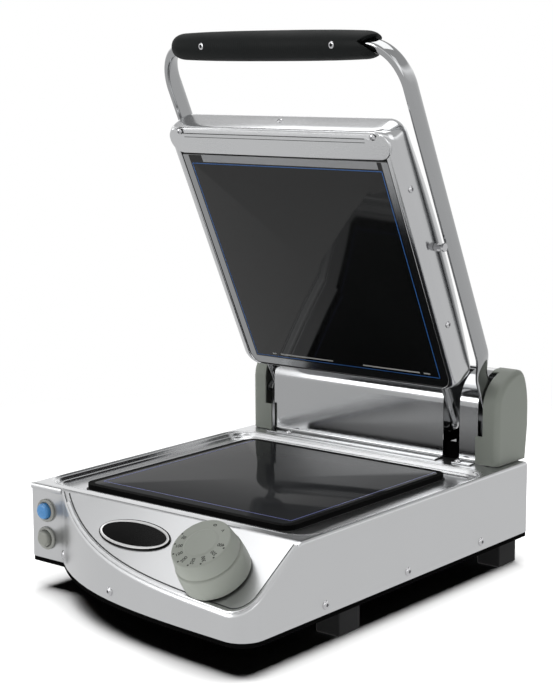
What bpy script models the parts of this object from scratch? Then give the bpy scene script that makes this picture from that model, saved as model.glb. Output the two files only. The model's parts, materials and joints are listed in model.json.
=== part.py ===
"""Contact grill with a glass ceramic plate in the base and another in a spring balanced lid.

Metres, +Z up, the origin on the floor under the middle of the grill. X runs to the cook's
right and Y to the back. Base pieces are placed from the front edge of the deck, lid and
arm pieces from the rear edge of the lid's heated field: v towards the handle, n out of
the cooking face. Panel pieces are placed from the crest between deck and control panel.
"""
import math

import bmesh
import bpy
from mathutils import Matrix, Vector

# Gaps, sheet and cutters
FIT = 0.0003
OVERRUN = 0.003
SHEET = 0.0012
WELD = 0.000001
MERGE = 0.00001
COLLECTION = "contact_grill"

# Base housing
WIDTH = 0.331
DECK_DEPTH = 0.367
WALL_HEIGHT = 0.072
EDGE_FOLD = 0.0032
CREST_FOLD_SHARE = 0.8
BACK_CORNER = 0.004
COLUMN_WIDTH = 0.043
FRONT_CORNER = 0.022
FRONT_BOW = 0.0555
FRONT_SKEW = 0.018
BOW_POWER = 3.4
PANEL_TILT = math.radians(33.5)

# Base tray and feet
FOOT_HEIGHT = 0.0282
FOOT_LENGTH = 0.032
FOOT_BREADTH = 0.026
FOOT_INSET = 0.0125
FRONT_FOOT_START = 0.068
REAR_FOOT_INSET = 0.001
FOOT_EDGE = 0.0015
TRAY_FLOOR = 0.0042
TRAY_INSET = 0.0005
TRAY_WALL = 0.0015
TRAY_UPSTAND = 0.015
VENT_COUNT = 5
VENT_OFFSET = 0.055
VENT_LENGTH = 0.060
VENT_WIDTH = 0.005
VENT_CORNER = 0.0024

# Half the width, and heights that follow
SIDE = WIDTH / 2
COLUMN_X = COLUMN_WIDTH - SIDE
TRAY_LOW = FOOT_HEIGHT + FIT
TRAY_TOP = TRAY_LOW + TRAY_FLOOR
WALL_LOW = TRAY_TOP + FIT
DECK_TOP = WALL_LOW + WALL_HEIGHT

# Basin in the deck, each slope row a share of its width and its depth
REAR_DECK = 0.065
BASIN_SIDE = 0.0035
BASIN_FRONT = 0.011
BASIN_BACK = DECK_DEPTH - REAR_DECK
BASIN_CORNER = 0.027
BASIN_DEPTH = 0.0075
BASIN_SLOPE = 0.005
BASIN_SLOPE_SHARES = ((0, 0), (0.15, 0.12), (0.5, 0.62), (0.75, 0.9), (1, 1))

# Lower plate
GLASS_SIDE_GAP = 0.0395
GLASS_BACK_GAP = 0.020
GLASS_FRONT = 0.0305
GLASS_WIDTH = 2 * (SIDE - GLASS_SIDE_GAP)
GLASS_LENGTH = BASIN_BACK - GLASS_BACK_GAP - GLASS_FRONT
GLASS_THICK = 0.005
GLASS_CORNER = 0.008
GLASS_CORNER_LEAST = 0.004
GLASS_EDGE = 0.0006
GLASS_SUNK = 0.001
SEAL_WIDTH = 0.0085
SEAL_INSET = 0.0006
OPENING_EDGE = 0.0095
PAN_EDGE = 0.012
PAN_DEPTH = 0.020
PAN_WALL = 0.0008
PAN_CORNER = 0.010
INSULATION_THICK = 0.010
ELEMENT_RADIUS = 0.0018
ELEMENT_RUNS = 6

# Bead along the edge of the control panel
BEAD_RADIUS = 0.0026
BEAD_PROUD = 0.0014
BEAD_START = 0.004

# Knob, its shaft and the thermostat
KNOB_FROM_SIDE = 0.056
KNOB_X = SIDE - KNOB_FROM_SIDE
KNOB_DOWN = 0.0515
KNOB_HEIGHT = 0.039
KNOB_FACE_RADIUS = 0.027
KNOB_RADIUS = 0.0295
KNOB_SKIRT_RADIUS = 0.031
KNOB_SKIRT_HEIGHT = 0.022
KNOB_GROOVE = 0.0008
KNOB_EDGE = 0.001
KNOB_LIFT = 0.002
KNOB_WALL = 0.002
KNOB_CROWN = 0.008
KNOB_BOSS_RADIUS = 0.007
SHAFT_RADIUS = 0.003
SHAFT_BUSH_RADIUS = 0.0048
SHAFT_DEPTH = 0.014
NUT_RADIUS = 0.0075
NUT_TOP = 0.0035
THERMOSTAT_RADIUS = 0.017
THERMOSTAT_DEPTH = 0.018

# Badge
BADGE_X = -0.002
BADGE_DOWN = 0.0325
BADGE_HALF_LENGTH = 0.042
BADGE_HALF_WIDTH = 0.0165
BADGE_THICK = 0.0022
BADGE_FIELD_SUNK = 0.0007
BADGE_RIM = 0.0025

# Buttons in the middle of the switch column
BUTTON_X = COLUMN_WIDTH / 2 - SIDE
POWER_HEIGHT = 0.0475
START_HEIGHT = 0.0205
BEZEL_RADIUS = 0.0105
BEZEL_PROUD = 0.0045
BEZEL_BARREL_RADIUS = 0.0084
BEZEL_DEPTH = 0.012
CAP_RADIUS = 0.0075
CAP_PROUD = 0.009
CAP_EDGE = 0.001
STEM_RADIUS = 0.00375
BUTTON_TRAVEL = 0.003
SWITCH_WIDTH = 0.020
SWITCH_DEPTH = 0.018

# Screws
SCREW_HEAD_RADIUS = 0.0036
SCREW_HEAD_HEIGHT = 0.0016
SCREW_SHANK_RADIUS = 0.0017
SCREW_LENGTH = 0.006
SIDE_SCREW_FIRST = 0.033
SIDE_SCREW_BACK = 0.087
SIDE_SCREW_LAST = DECK_DEPTH - SIDE_SCREW_BACK
SIDE_SCREW_STARTS = (SIDE_SCREW_FIRST, (SIDE_SCREW_FIRST + SIDE_SCREW_LAST) / 2, SIDE_SCREW_LAST)
SIDE_SCREW_HEIGHT = 0.0085
FRONT_SCREW_X = -0.007

# Hinge line, and the arms beside it
HINGE_FROM_BACK = 0.0176
HINGE_Y = DECK_DEPTH - HINGE_FROM_BACK
HINGE_HEIGHT = 0.042
HINGE_Z = DECK_TOP + HINGE_HEIGHT
HINGE_V = -0.074
HINGE_N = -0.040
LID_OPEN = math.radians(64.155)
ARM_INSET = 0.0231
ARM_X = SIDE - ARM_INSET
ARM_THICK = 0.007
ARM_WIDTH = 0.020
ARM_N = -0.038

# Rear cover over the hinge
COVER_ARM_GAP = 0.0124
COVER_HALF = ARM_X - COVER_ARM_GAP
COVER_FROM_BACK = 0.040
COVER_WALL_Y = DECK_DEPTH - COVER_FROM_BACK
COVER_FLANGE = 0.014
COVER_FLANGE_FRONT = COVER_WALL_Y - COVER_FLANGE
COVER_ARC = 0.034
COVER_TOP = 0.090
COVER_OVERHANG = 0.014
COVER_BACK = DECK_DEPTH + COVER_OVERHANG
COVER_BACK_BEND = 0.012
COVER_BACK_LIFT = 0.010
COVER_BEND = 0.003
COVER_SCREW_LEFT_INSET = 0.026
COVER_SCREW_RIGHT_INSET = 0.018
COVER_SCREWS_X = (COVER_SCREW_LEFT_INSET - COVER_HALF, COVER_HALF - COVER_SCREW_RIGHT_INSET)
COVER_SCREW_Y = COVER_WALL_Y - COVER_FLANGE / 2
COVER_TAB_LENGTH = 0.025
COVER_TAB_HEIGHT = 0.013

# Guide tube that carries the lid's wires past the hinge, and its slot in the rear cover
TUBE_INSET = 0.032
TUBE_X = COVER_HALF - TUBE_INSET
TUBE_N = -0.0255
TUBE_RADIUS = 0.00475
TUBE_WALL = 0.0006
TUBE_BEND = 0.010
TUBE_V = -0.080
TUBE_RUN = 0.038
TUBE_INSIDE = 0.012
SADDLE_HALF = 0.0075
SADDLE_LENGTH = 0.0055
SADDLE_TOP = 0.0015
CABLE_SLOT_INNER = 0.009
CABLE_SLOT_OUTER = 0.0105
CABLE_SLOT_LEFT = TUBE_X - CABLE_SLOT_INNER
CABLE_SLOT_RIGHT = TUBE_X + CABLE_SLOT_OUTER
CABLE_SLOT_LENGTH = 0.038
CABLE_SLOT_END = COVER_WALL_Y + CABLE_SLOT_LENGTH

# Tower covers at both ends of the hinge
TOWER_BREADTH = 0.026
TOWER_INNER = COVER_HALF + FIT
TOWER_OUTER = TOWER_INNER + TOWER_BREADTH
TOWER_LIFT = 0.0006
TOWER_TOP = 0.092
TOWER_LEAD = 0.005
TOWER_TRAIL = 0.001
TOWER_FRONT = COVER_WALL_Y - TOWER_LEAD
TOWER_BACK = COVER_BACK + TOWER_TRAIL
TOWER_FRONT_DROP = 0.034
TOWER_BACK_RISE = 0.016
TOWER_BACK_DROP = 0.042
TOWER_BASE_TAPER = 0.004
TOWER_SHOULDER = 0.016
TOWER_EDGE = 0.006
TOWER_WALL = 0.002
ARM_SLOT_WIDTH = 0.0082
ARM_SLOT_LOW = 0.029
ARM_SLOT_LENGTH = 0.030
ARM_SLOT_END = TOWER_FRONT + ARM_SLOT_LENGTH

# Hinge brackets, bushes, axles and springs, along X from the arms' feet outwards
BRACKET_X = ARM_X - ARM_THICK / 2
BRACKET_THICK = 0.0025
BRACKET_FRONT = 0.022
BRACKET_BACK = 0.016
BRACKET_HEAD = 0.0095
BRACKET_FOOT = 0.012
ARM_FOOT_GAP = 0.0044
FOOT_X = BRACKET_X - ARM_FOOT_GAP
FOOT_THICK = 0.0054
AXLE_RADIUS = 0.004
AXLE_HEAD_RADIUS = 0.0062
AXLE_HEAD = 0.0012
AXLE_ROOM = 0.0025
AXLE_END = TOWER_OUTER - AXLE_ROOM
BUSH_RADIUS = 0.0056
BUSH_FLANGE_RADIUS = 0.0075
SPRING_RADIUS = 0.0068
SPRING_WIRE = 0.0009
SPRING_GAP = 0.0005
SPRING_TURNS = 3.5
SPRING_STEPS = 10
CLIP_RADIUS = 0.0060
CLIP_THICK = 0.0008

# Lid housing, its glass and the parts behind it
LID_ARM_GAP = 0.0029
LID_HALF = ARM_X - ARM_THICK / 2 - LID_ARM_GAP
LID_BACK_V = -0.012
LID_OUTER_N = -0.032
LID_RIM_N = 0.0015
LID_EDGE = 0.008
LID_CORNER = 0.009
LID_RIM_FOLD = 0.0016
LID_LAP = 0.0025
LID_RIM_WIDTH = 0.011
LID_FIELD_EDGE = 0.0094
LID_FIELD_LENGTH = 0.229
LID_FIELD_LEAD = 0.0102
LID_GLASS_THICK = 0.004
LID_GLASS_CORNER = 0.002
LID_GLASS_HALF = LID_HALF - LID_RIM_WIDTH
LID_GLASS_BACK_V = -0.0105
LID_GLASS_FRONT_V = LID_FIELD_LENGTH + LID_FIELD_LEAD
LID_FIELD_HALF = LID_GLASS_HALF - LID_FIELD_EDGE
LID_PAN_INSET = 0.0027
LID_PAN_BACK = 0.003

# Bar along the lid's front edge with a stepped ledge, and its gaskets
BAR_GAP = 0.0013
BAR_BREADTH = 0.028
BAR_INSET = 0.003
BAR_END_GAP = 0.0015
BAR_HALF = LID_HALF - BAR_INSET
BAR_BACK_V = LID_GLASS_FRONT_V + BAR_GAP
BAR_FRONT_V = BAR_BACK_V + BAR_BREADTH
LID_FRONT_V = BAR_FRONT_V + BAR_END_GAP
BAR_FACE_N = 0.0015
BAR_THICK = 0.0075
BAR_CORNER = 0.0135
BAR_EDGE = 0.0012
BAR_LEDGE_INSET = 0.015
BAR_LEDGE_HALF = BAR_HALF - BAR_LEDGE_INSET
BAR_LEDGES = ((0.0065, 0.0012), (0.0030, 0.0026))
GASKET_LENGTH = 0.020
GASKET_THICK = 0.003

# Tilt pivots between arms and lid
PIVOT_V = 0.139
PIVOT_N = -0.020
PIVOT_TAB_WIDTH = 0.009
PIVOT_TAB_THICK = 0.004
PIVOT_BOLT_RADIUS = 0.0022
PIVOT_HEAD_RADIUS = 0.0040
PIVOT_HEAD = 0.0025
PIVOT_BOLT_END = 0.0055
LID_SCREW_BACK_V = 0.060
LID_SCREW_LEAD = 0.063
LID_SIDE_SCREWS_V = (LID_SCREW_BACK_V, LID_FRONT_V - LID_SCREW_LEAD)
LID_SCREW_N = -0.008
LID_FRONT_SCREW_N = -0.015

# Arms and handle, one bent tube, flattened along the arms
HANDLE_REACH = 0.0667
HANDLE_DROP = 0.0417
HANDLE_V = LID_FRONT_V + HANDLE_REACH
HANDLE_N = -0.037
ARM_BEND_V = HANDLE_V - HANDLE_DROP
ARM_JOG_TOP = 0.008
ARM_JOG_END = -0.026
ARM_JOG_SHARES = (0.25, 0.75)
ARM_FOOT_END = 0.012
HANDLE_TUBE_RADIUS = 0.0058
HANDLE_BEND = 0.0304
SECTION_SQUARENESS = 0.8

# Grip shells, with a V cut into each end where the tube bends away
GRIP_GAP = 0.0214
GRIP_HALF = ARM_X - GRIP_GAP
GRIP_MIDDLE_RADIUS = 0.0143
GRIP_END_RADIUS = 0.0122
GRIP_END_EDGE = 0.0012
GRIP_TAPER_POWER = 3
GRIP_STATIONS = 12
GRIP_BORE = 0.0086
GRIP_NOTCH = 0.014
GRIP_NOTCH_HALF = 0.0085
GRIP_SCREW_INSET = 0.043
GRIP_SCREW_X = GRIP_HALF - GRIP_SCREW_INSET
GRIP_SCREW_RADIUS = 0.0034
GRIP_SCREW_LENGTH = 0.022
GRIP_TURN = math.radians(25.8)
ROD_PAST_SCREW = 0.004

# Gland for the mains lead and the terminal block
GLAND_FROM_SIDE = 0.0655
GLAND_X = GLAND_FROM_SIDE - SIDE
GLAND_HEIGHT = 0.025
GLAND_RADIUS = 0.009
GLAND_BARREL = 0.0065
GLAND_BORE = 0.0042
GLAND_PROUD = 0.004
GLAND_DEPTH = 0.008
TERMINAL_HALF = 0.020
TERMINAL_DEPTH = 0.018
TERMINAL_BACK = 0.030
TERMINAL_HEIGHT = 0.014

# Where the pieces stand from front to back
FRONT_REACH = (
    KNOB_DOWN * math.cos(PANEL_TILT)
    + (KNOB_HEIGHT - KNOB_EDGE) * math.sin(PANEL_TILT)
    + KNOB_FACE_RADIUS * math.cos(PANEL_TILT)
)
MIDDLE_Y = (TOWER_BACK - FRONT_REACH) / 2
HANDS = ("left", "right")

# How round parts and edges are divided, and the angles that tell folds from flat faces
ROUND_STEPS = 16
SCREW_STEPS = 12
KNOB_STEPS = 32
GRIP_STEPS = 16
SHARP_ANGLE = math.radians(35)
EDGE_ANGLE = math.radians(60)
FLAT_ANGLE = math.radians(0.2)
LEVEL_SHARE = 0.5
UPRIGHT_SHARE = 0.1
CREST_SHARE = 0.05

parts_collection = None
cutter_collection = None


def clear_scene():
    """Remove every object and make the two collections."""
    global parts_collection, cutter_collection
    for obj in list(bpy.data.objects):
        bpy.data.objects.remove(obj, do_unlink=True)
    parts_collection = bpy.data.collections.new(COLLECTION)
    cutter_collection = bpy.data.collections.new("cutters")
    for collection in (parts_collection, cutter_collection):
        bpy.context.scene.collection.children.link(collection)


def material(name, colour, roughness, metallic=0.0):
    """A Principled material in the part's colour."""
    made = bpy.data.materials.new(name)
    made.use_nodes = True
    shader = made.node_tree.nodes["Principled BSDF"]
    shader.inputs["Base Color"].default_value = (*colour, 1.0)
    shader.inputs["Roughness"].default_value = roughness
    shader.inputs["Metallic"].default_value = metallic
    made.diffuse_color = (*colour, 1.0)
    return made


def place(obj, parent=None, location=(0, 0, 0), rotation=(0, 0, 0)):
    """Set an object's parent, place and turn."""
    obj.parent = parent
    obj.location = location
    obj.rotation_euler = rotation
    return obj


def piece(name, mesh, finish, parent=None, location=(0, 0, 0), rotation=(0, 0, 0)):
    """A sub-part: one named object with its own material."""
    obj = bpy.data.objects.new(name, mesh)
    parts_collection.objects.link(obj)
    mesh.materials.clear()
    mesh.materials.append(finish)
    mesh.shade_smooth()
    mesh.set_sharp_from_angle(angle=SHARP_ANGLE)
    return place(obj, parent, location, rotation)


def cutter(name, mesh, parent=None, location=(0, 0, 0), rotation=(0, 0, 0)):
    """A shape used only by Boolean modifiers."""
    obj = bpy.data.objects.new(name, mesh)
    cutter_collection.objects.link(obj)
    obj.hide_render = True
    obj.display_type = "WIRE"
    return place(obj, parent, location, rotation)


def boolean(obj, tool, operation="DIFFERENCE"):
    """Cut, join or intersect an object with a cutter."""
    modifier = obj.modifiers.new(tool.name, "BOOLEAN")
    modifier.object = tool
    modifier.operation = operation
    modifier.solver = "EXACT"


def empty(name, parent=None, location=(0, 0, 0), rotation=(0, 0, 0)):
    """A frame that other objects are placed in."""
    obj = bpy.data.objects.new(name, None)
    parts_collection.objects.link(obj)
    return place(obj, parent, location, rotation)


def mesh_of_curve(curve):
    """Turn curve data into a mesh with its caps welded on."""
    guide = bpy.data.objects.new("guide", curve)
    cutter_collection.objects.link(guide)
    shape = guide.evaluated_get(bpy.context.evaluated_depsgraph_get())
    mesh = bpy.data.meshes.new_from_object(shape)
    bpy.data.objects.remove(guide, do_unlink=True)
    bm = bmesh.new()
    bm.from_mesh(mesh)
    bmesh.ops.remove_doubles(bm, verts=bm.verts, dist=WELD)
    bmesh.ops.dissolve_limit(bm, angle_limit=FLAT_ANGLE, verts=bm.verts, edges=bm.edges)
    bmesh.ops.recalc_face_normals(bm, faces=bm.faces)
    bm.to_mesh(mesh)
    bm.free()
    return mesh


def plate(low, high, *outlines):
    """A flat plate from z low to z high; outlines after the first are holes."""
    curve = bpy.data.curves.new("outline", "CURVE")
    curve.dimensions = "2D"
    curve.fill_mode = "BOTH"
    curve.extrude = (high - low) / 2
    for outline in outlines:
        spline = curve.splines.new("POLY")
        spline.points.add(len(outline) - 1)
        for point, (x, y) in zip(spline.points, outline):
            point.co = (x, y, 0, 1)
        spline.use_cyclic_u = True
    mesh = mesh_of_curve(curve)
    mesh.transform(Matrix.Translation((0, 0, (low + high) / 2)))
    return mesh


def tube(points, radius, resolution=2, cyclic=False):
    """A round bar along points, with filled ends."""
    curve = bpy.data.curves.new("route", "CURVE")
    curve.dimensions = "3D"
    curve.bevel_depth = radius
    curve.bevel_resolution = resolution
    curve.use_fill_caps = True
    spline = curve.splines.new("POLY")
    spline.points.add(len(points) - 1)
    for point, place_of in zip(spline.points, points):
        point.co = (*place_of, 1)
    spline.use_cyclic_u = cyclic
    return mesh_of_curve(curve)



def block(low, high):
    """A box between two corners, from a cube."""
    bm = bmesh.new()
    bmesh.ops.create_cube(bm, size=1)
    size = [top - bottom for bottom, top in zip(low, high)]
    middle = [(top + bottom) / 2 for bottom, top in zip(low, high)]
    bmesh.ops.scale(bm, vec=size, verts=bm.verts)
    bmesh.ops.translate(bm, vec=middle, verts=bm.verts)
    mesh = bpy.data.meshes.new("block")
    bm.to_mesh(mesh)
    bm.free()
    return mesh


def loft(rings, cyclic=False):
    """Skin over rings of equal length, capped at both ends unless the rings close."""
    bm = bmesh.new()
    levels = [[bm.verts.new(point) for point in ring] for ring in rings]
    pairs = list(zip(levels, levels[1:]))
    if cyclic:
        pairs.append((levels[-1], levels[0]))
    else:
        bm.faces.new(levels[0])
        bm.faces.new(levels[-1])
    for lower, upper in pairs:
        for i, corner in enumerate(lower):
            bm.faces.new((lower[i - 1], corner, upper[i], upper[i - 1]))
    bmesh.ops.recalc_face_normals(bm, faces=bm.faces)
    mesh = bpy.data.meshes.new("loft")
    bm.to_mesh(mesh)
    bm.free()
    return mesh


def joined(*meshes):
    """Separate solids as one mesh."""
    bm = bmesh.new()
    for mesh in meshes:
        bm.from_mesh(mesh)
    made = bpy.data.meshes.new("joined")
    bm.to_mesh(made)
    bm.free()
    return made


def moved(mesh, matrix):
    """A transformed copy of a mesh."""
    copy = mesh.copy()
    copy.transform(matrix)
    if matrix.determinant() < 0:
        copy.flip_normals()
    return copy


def bevel(obj, width, segments=2, weighted=False, angle=math.radians(30)):
    """Round an object's edges, all sharp ones or only the weighted."""
    modifier = obj.modifiers.new("round", "BEVEL")
    modifier.width = width
    modifier.segments = segments
    modifier.limit_method = "WEIGHT" if weighted else "ANGLE"
    modifier.angle_limit = angle
    modifier.use_clamp_overlap = True
    return modifier


def arc(x, y, radius, start, end, steps):
    """Points on an arc, angles in degrees."""
    points = []
    for i in range(steps + 1):
        angle = math.radians(start + (end - start) * i / steps)
        points.append((x + radius * math.cos(angle), y + radius * math.sin(angle)))
    return points


def rounded_rectangle(left, right, front, back, radius, steps=4):
    """Anticlockwise outline with round corners."""
    corners = (
        (right - radius, front + radius, -90),
        (right - radius, back - radius, 0),
        (left + radius, back - radius, 90),
        (left + radius, front + radius, 180),
    )
    outline = []
    for x, y, start in corners:
        outline += arc(x, y, radius, start, start + 90, steps)
    return outline


def circle(x, y, radius, steps=ROUND_STEPS):
    """Anticlockwise round outline."""
    return arc(x, y, radius, 0, 360 - 360 / steps, steps - 1)


def inset(outline, distance):
    """An anticlockwise outline moved inwards by a distance."""
    made = []
    count = len(outline)
    for i, here in enumerate(outline):
        before = Vector(here) - Vector(outline[i - 1])
        after = Vector(outline[(i + 1) % count]) - Vector(here)
        before_normal = Vector((-before.y, before.x)).normalized()
        after_normal = Vector((-after.y, after.x)).normalized()
        both = before_normal + after_normal
        step = both * distance / (1 + before_normal.dot(after_normal))
        made.append((here[0] + step.x, here[1] + step.y))
    return made


def turned(profile, steps=24, closed=False):
    """The mesh of a (radius, height) profile turned round Z by a Screw modifier."""
    mesh = bpy.data.meshes.new("profile")
    edges = [(i, i + 1) for i in range(len(profile) - 1)]
    if closed:
        edges.append((len(profile) - 1, 0))
    mesh.from_pydata([(radius, 0, height) for radius, height in profile], edges, [])
    guide = bpy.data.objects.new("guide", mesh)
    cutter_collection.objects.link(guide)
    screw = guide.modifiers.new("turn", "SCREW")
    screw.steps = steps
    screw.render_steps = steps
    screw.use_merge_vertices = True
    screw.merge_threshold = MERGE
    screw.use_normal_calculate = True
    shape = guide.evaluated_get(bpy.context.evaluated_depsgraph_get())
    made = bpy.data.meshes.new_from_object(shape)
    bpy.data.objects.remove(guide, do_unlink=True)
    bm = bmesh.new()
    bm.from_mesh(made)
    bmesh.ops.recalc_face_normals(bm, faces=bm.faces)
    bm.to_mesh(made)
    bm.free()
    return made


def cylinder(radius, low, high, steps=ROUND_STEPS):
    """A round bar or hole along Z."""
    return turned([(0, high), (radius, high), (radius, low), (0, low)], steps)


def screw_mesh():
    """A round headed screw whose head sits on z = 0."""
    rise = [(0, SCREW_HEAD_HEIGHT + FIT)]
    for across, up in arc(0, 0, 1, 90, 0, 3)[1:]:
        rise.append((SCREW_HEAD_RADIUS * across, SCREW_HEAD_HEIGHT * up + FIT))
    shank = [(SCREW_SHANK_RADIUS, FIT), (SCREW_SHANK_RADIUS, -SCREW_LENGTH), (0, -SCREW_LENGTH)]
    return turned(rise + shank, SCREW_STEPS)


def screw_hole():
    """The hole that a screw passes."""
    return cylinder(SCREW_SHANK_RADIUS + FIT, -SCREW_LENGTH, OVERRUN, SCREW_STEPS)


def along_x(x, y, z, way):
    """Matrix that turns +Z to +X or -X and puts it at a point."""
    return Matrix.Translation((x, y, z)) @ Matrix.Rotation(way * math.pi / 2, 4, "Y")


def towards_front(x, y, z, turn=0.0):
    """Matrix that turns +Z to the front, swung by an angle about Z, and puts it at a point."""
    swing = Matrix.Rotation(turn, 4, "Z")
    return Matrix.Translation((x, y, z)) @ swing @ Matrix.Rotation(math.pi / 2, 4, "X")


# Profiles drawn as (y, z) and extruded along X
SIDE_VIEW = Matrix(((0, 0, 1, 0), (1, 0, 0, 0), (0, 1, 0, 0), (0, 0, 0, 1)))


def front_curve(x):
    """Y of the front wall at x."""
    right = SIDE - FRONT_CORNER
    share = (right - x) / (right - COLUMN_X)
    return -FRONT_BOW * (1 - share ** BOW_POWER) - FRONT_SKEW * (1 - share)


def front_turn(x):
    """Angle between the front wall and the X axis at x."""
    return math.atan((front_curve(x + FIT) - front_curve(x - FIT)) / (2 * FIT))


def base_outline(steps=14):
    """Plan of the base, anticlockwise from the column's front left corner."""
    side = SIDE
    right = side - FRONT_CORNER
    outline = arc(BACK_CORNER - side, BACK_CORNER, BACK_CORNER, 180, 270, 3)
    for i in range(steps + 1):
        x = COLUMN_X + (right - COLUMN_X) * i / steps
        outline.append((x, front_curve(x)))
    outline += arc(right, front_curve(right) + FRONT_CORNER, FRONT_CORNER, -90, 0, 6)[1:]
    outline += arc(side - BACK_CORNER, DECK_DEPTH - BACK_CORNER, BACK_CORNER, 0, 90, 3)
    outline += arc(BACK_CORNER - side, DECK_DEPTH - BACK_CORNER, BACK_CORNER, 90, 180, 3)
    return outline


def panel_height(y, sunk=0.0):
    """Height of the control panel at y, or of a plane under it."""
    return DECK_TOP + y * math.tan(PANEL_TILT) - sunk / math.cos(PANEL_TILT)


def sloped_block(outline, low, sunk):
    """A block over an outline, with the deck and the panel as its top, edges weighted for folds."""
    crest = sunk * math.tan(PANEL_TILT / 2)
    high = DECK_TOP - sunk
    bm = bmesh.new()
    bm.from_mesh(plate(low, high, outline))
    everything = bm.verts[:] + bm.edges[:] + bm.faces[:]
    bmesh.ops.bisect_plane(bm, geom=everything, plane_co=(0, crest, 0), plane_no=(0, 1, 0), dist=MERGE)
    for corner in bm.verts:
        if corner.co.z > high - WELD and corner.co.y < crest:
            corner.co.z = panel_height(corner.co.y, sunk)
    bmesh.ops.recalc_face_normals(bm, faces=bm.faces)
    bm.normal_update()
    weights = bm.edges.layers.float.new("bevel_weight_edge")
    for edge in bm.edges:
        rises = sorted(face.normal.z for face in edge.link_faces)
        if rises[1] > LEVEL_SHARE and abs(rises[0]) < UPRIGHT_SHARE:
            edge[weights] = 1.0
        elif rises[0] > LEVEL_SHARE and rises[1] - rises[0] > CREST_SHARE:
            edge[weights] = CREST_FOLD_SHARE
    mesh = bpy.data.meshes.new("sloped_block")
    bm.to_mesh(mesh)
    bm.free()
    return mesh


def basin_mesh(spread):
    """The basin as a solid, from the deck down; spread thickens it by a sheet for the underside."""
    side = SIDE - BASIN_SIDE
    levels = [(-spread, DECK_TOP + OVERRUN)]
    for in_share, down_share in BASIN_SLOPE_SHARES:
        levels.append((BASIN_SLOPE * in_share - spread, DECK_TOP - spread - BASIN_DEPTH * down_share))
    rings = []
    for grow, z in levels:
        outline = rounded_rectangle(
            grow - side, side - grow, BASIN_FRONT + grow, BASIN_BACK - grow, BASIN_CORNER - grow, 5
        )
        rings.append([(x, y, z) for x, y in outline])
    return loft(rings)


def make_base(root, steel, black):
    """Sheet steel housing, its plastic tray and the four feet."""
    outline = base_outline()
    housing = piece("base_housing", sloped_block(outline, WALL_LOW, 0), steel, root)
    bevel(housing, EDGE_FOLD, 3, weighted=True)
    bead = cutter("bead", bead_mesh(), root)
    boolean(housing, bead, "UNION")
    boolean(housing, cutter("basin", basin_mesh(0), root))
    hollow = cutter("hollow", sloped_block(inset(outline, SHEET), WALL_LOW - OVERRUN, SHEET), root)
    bevel(hollow, EDGE_FOLD - SHEET, 2, weighted=True)
    boolean(hollow, cutter("basin_underside", basin_mesh(SHEET), root))
    boolean(housing, hollow)
    floor = DECK_TOP - BASIN_DEPTH
    opening = plate(floor - SHEET - OVERRUN, floor + OVERRUN, glass_outline(OPENING_EDGE))
    boolean(housing, cutter("opening", opening, root))

    tray = piece("bottom_tray", plate(TRAY_LOW, TRAY_TOP, inset(outline, TRAY_INSET)), black, root)
    outer = inset(outline, SHEET + FIT)
    wall = plate(TRAY_TOP - TRAY_WALL, TRAY_TOP + TRAY_UPSTAND, outer, inset(outer, TRAY_WALL))
    boolean(tray, cutter("tray_wall", wall, root), "UNION")
    boolean(tray, cutter("vents", vents(), root))

    holes = [moved(screw_hole(), matrix) for matrix in base_screw_places()]
    screw_holes = cutter("screw_holes", joined(*holes), root)
    boolean(housing, screw_holes)
    boolean(tray, screw_holes)
    make_feet(root, black)
    return housing, tray


def make_feet(root, black):
    """Four block feet under the tray."""
    side = SIDE - FOOT_INSET
    rear = DECK_DEPTH - REAR_FOOT_INSET - FOOT_LENGTH
    for label, start in (("front", FRONT_FOOT_START), ("rear", rear)):
        for hand, outer in (("left", -side), ("right", side)):
            inner = outer - math.copysign(FOOT_BREADTH, outer)
            low = (min(inner, outer), start, 0)
            high = (max(inner, outer), start + FOOT_LENGTH, FOOT_HEIGHT)
            foot = piece("foot_" + label + "_" + hand, block(low, high), black, root)
            bevel(foot, FOOT_EDGE, 2)


def vents():
    """Rows of air slots in the tray under the heater."""
    slots = []
    for row in (-1, 1):
        for i in range(VENT_COUNT):
            y = GLASS_FRONT + GLASS_LENGTH * (i + 1) / (VENT_COUNT + 1)
            x = row * VENT_OFFSET
            long, wide = VENT_LENGTH / 2, VENT_WIDTH / 2
            outline = rounded_rectangle(x - long, x + long, y - wide, y + wide, VENT_CORNER, 2)
            slots.append(plate(TRAY_LOW - OVERRUN, TRAY_TOP + OVERRUN, outline))
    return joined(*slots)


def base_screw_places():
    """Where the housing is screwed to the tray: three a side and one in the front wall."""
    z = WALL_LOW + SIDE_SCREW_HEIGHT
    places = []
    for y in SIDE_SCREW_STARTS:
        places.append(along_x(SIDE, y, z, 1))
        places.append(along_x(-SIDE, y, z, -1))
    x = FRONT_SCREW_X
    places.append(towards_front(x, front_curve(x), z, front_turn(x)))
    return places


def bead_mesh():
    """Raised fold that follows the panel's front and right edge."""
    sunk = BEAD_RADIUS - BEAD_PROUD
    route = []
    for x, y in inset(base_outline(), BEAD_RADIUS + FIT):
        if x > COLUMN_X and y < -BEAD_START:
            down = sunk * math.cos(PANEL_TILT)
            route.append((x, y + sunk * math.sin(PANEL_TILT), panel_height(y) - down))
    x, y, z = route[-1]
    route.append((x, -BEAD_START, z + (-BEAD_START - y) * math.tan(PANEL_TILT)))
    return tube(route, BEAD_RADIUS)


def glass_outline(distance=0.0):
    """Plan of the lower glass, or of a line inside its edge."""
    half = GLASS_WIDTH / 2 - distance
    return rounded_rectangle(
        -half, half, GLASS_FRONT + distance, GLASS_FRONT + GLASS_LENGTH - distance,
        max(GLASS_CORNER - distance, GLASS_CORNER_LEAST),
    )


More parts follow.
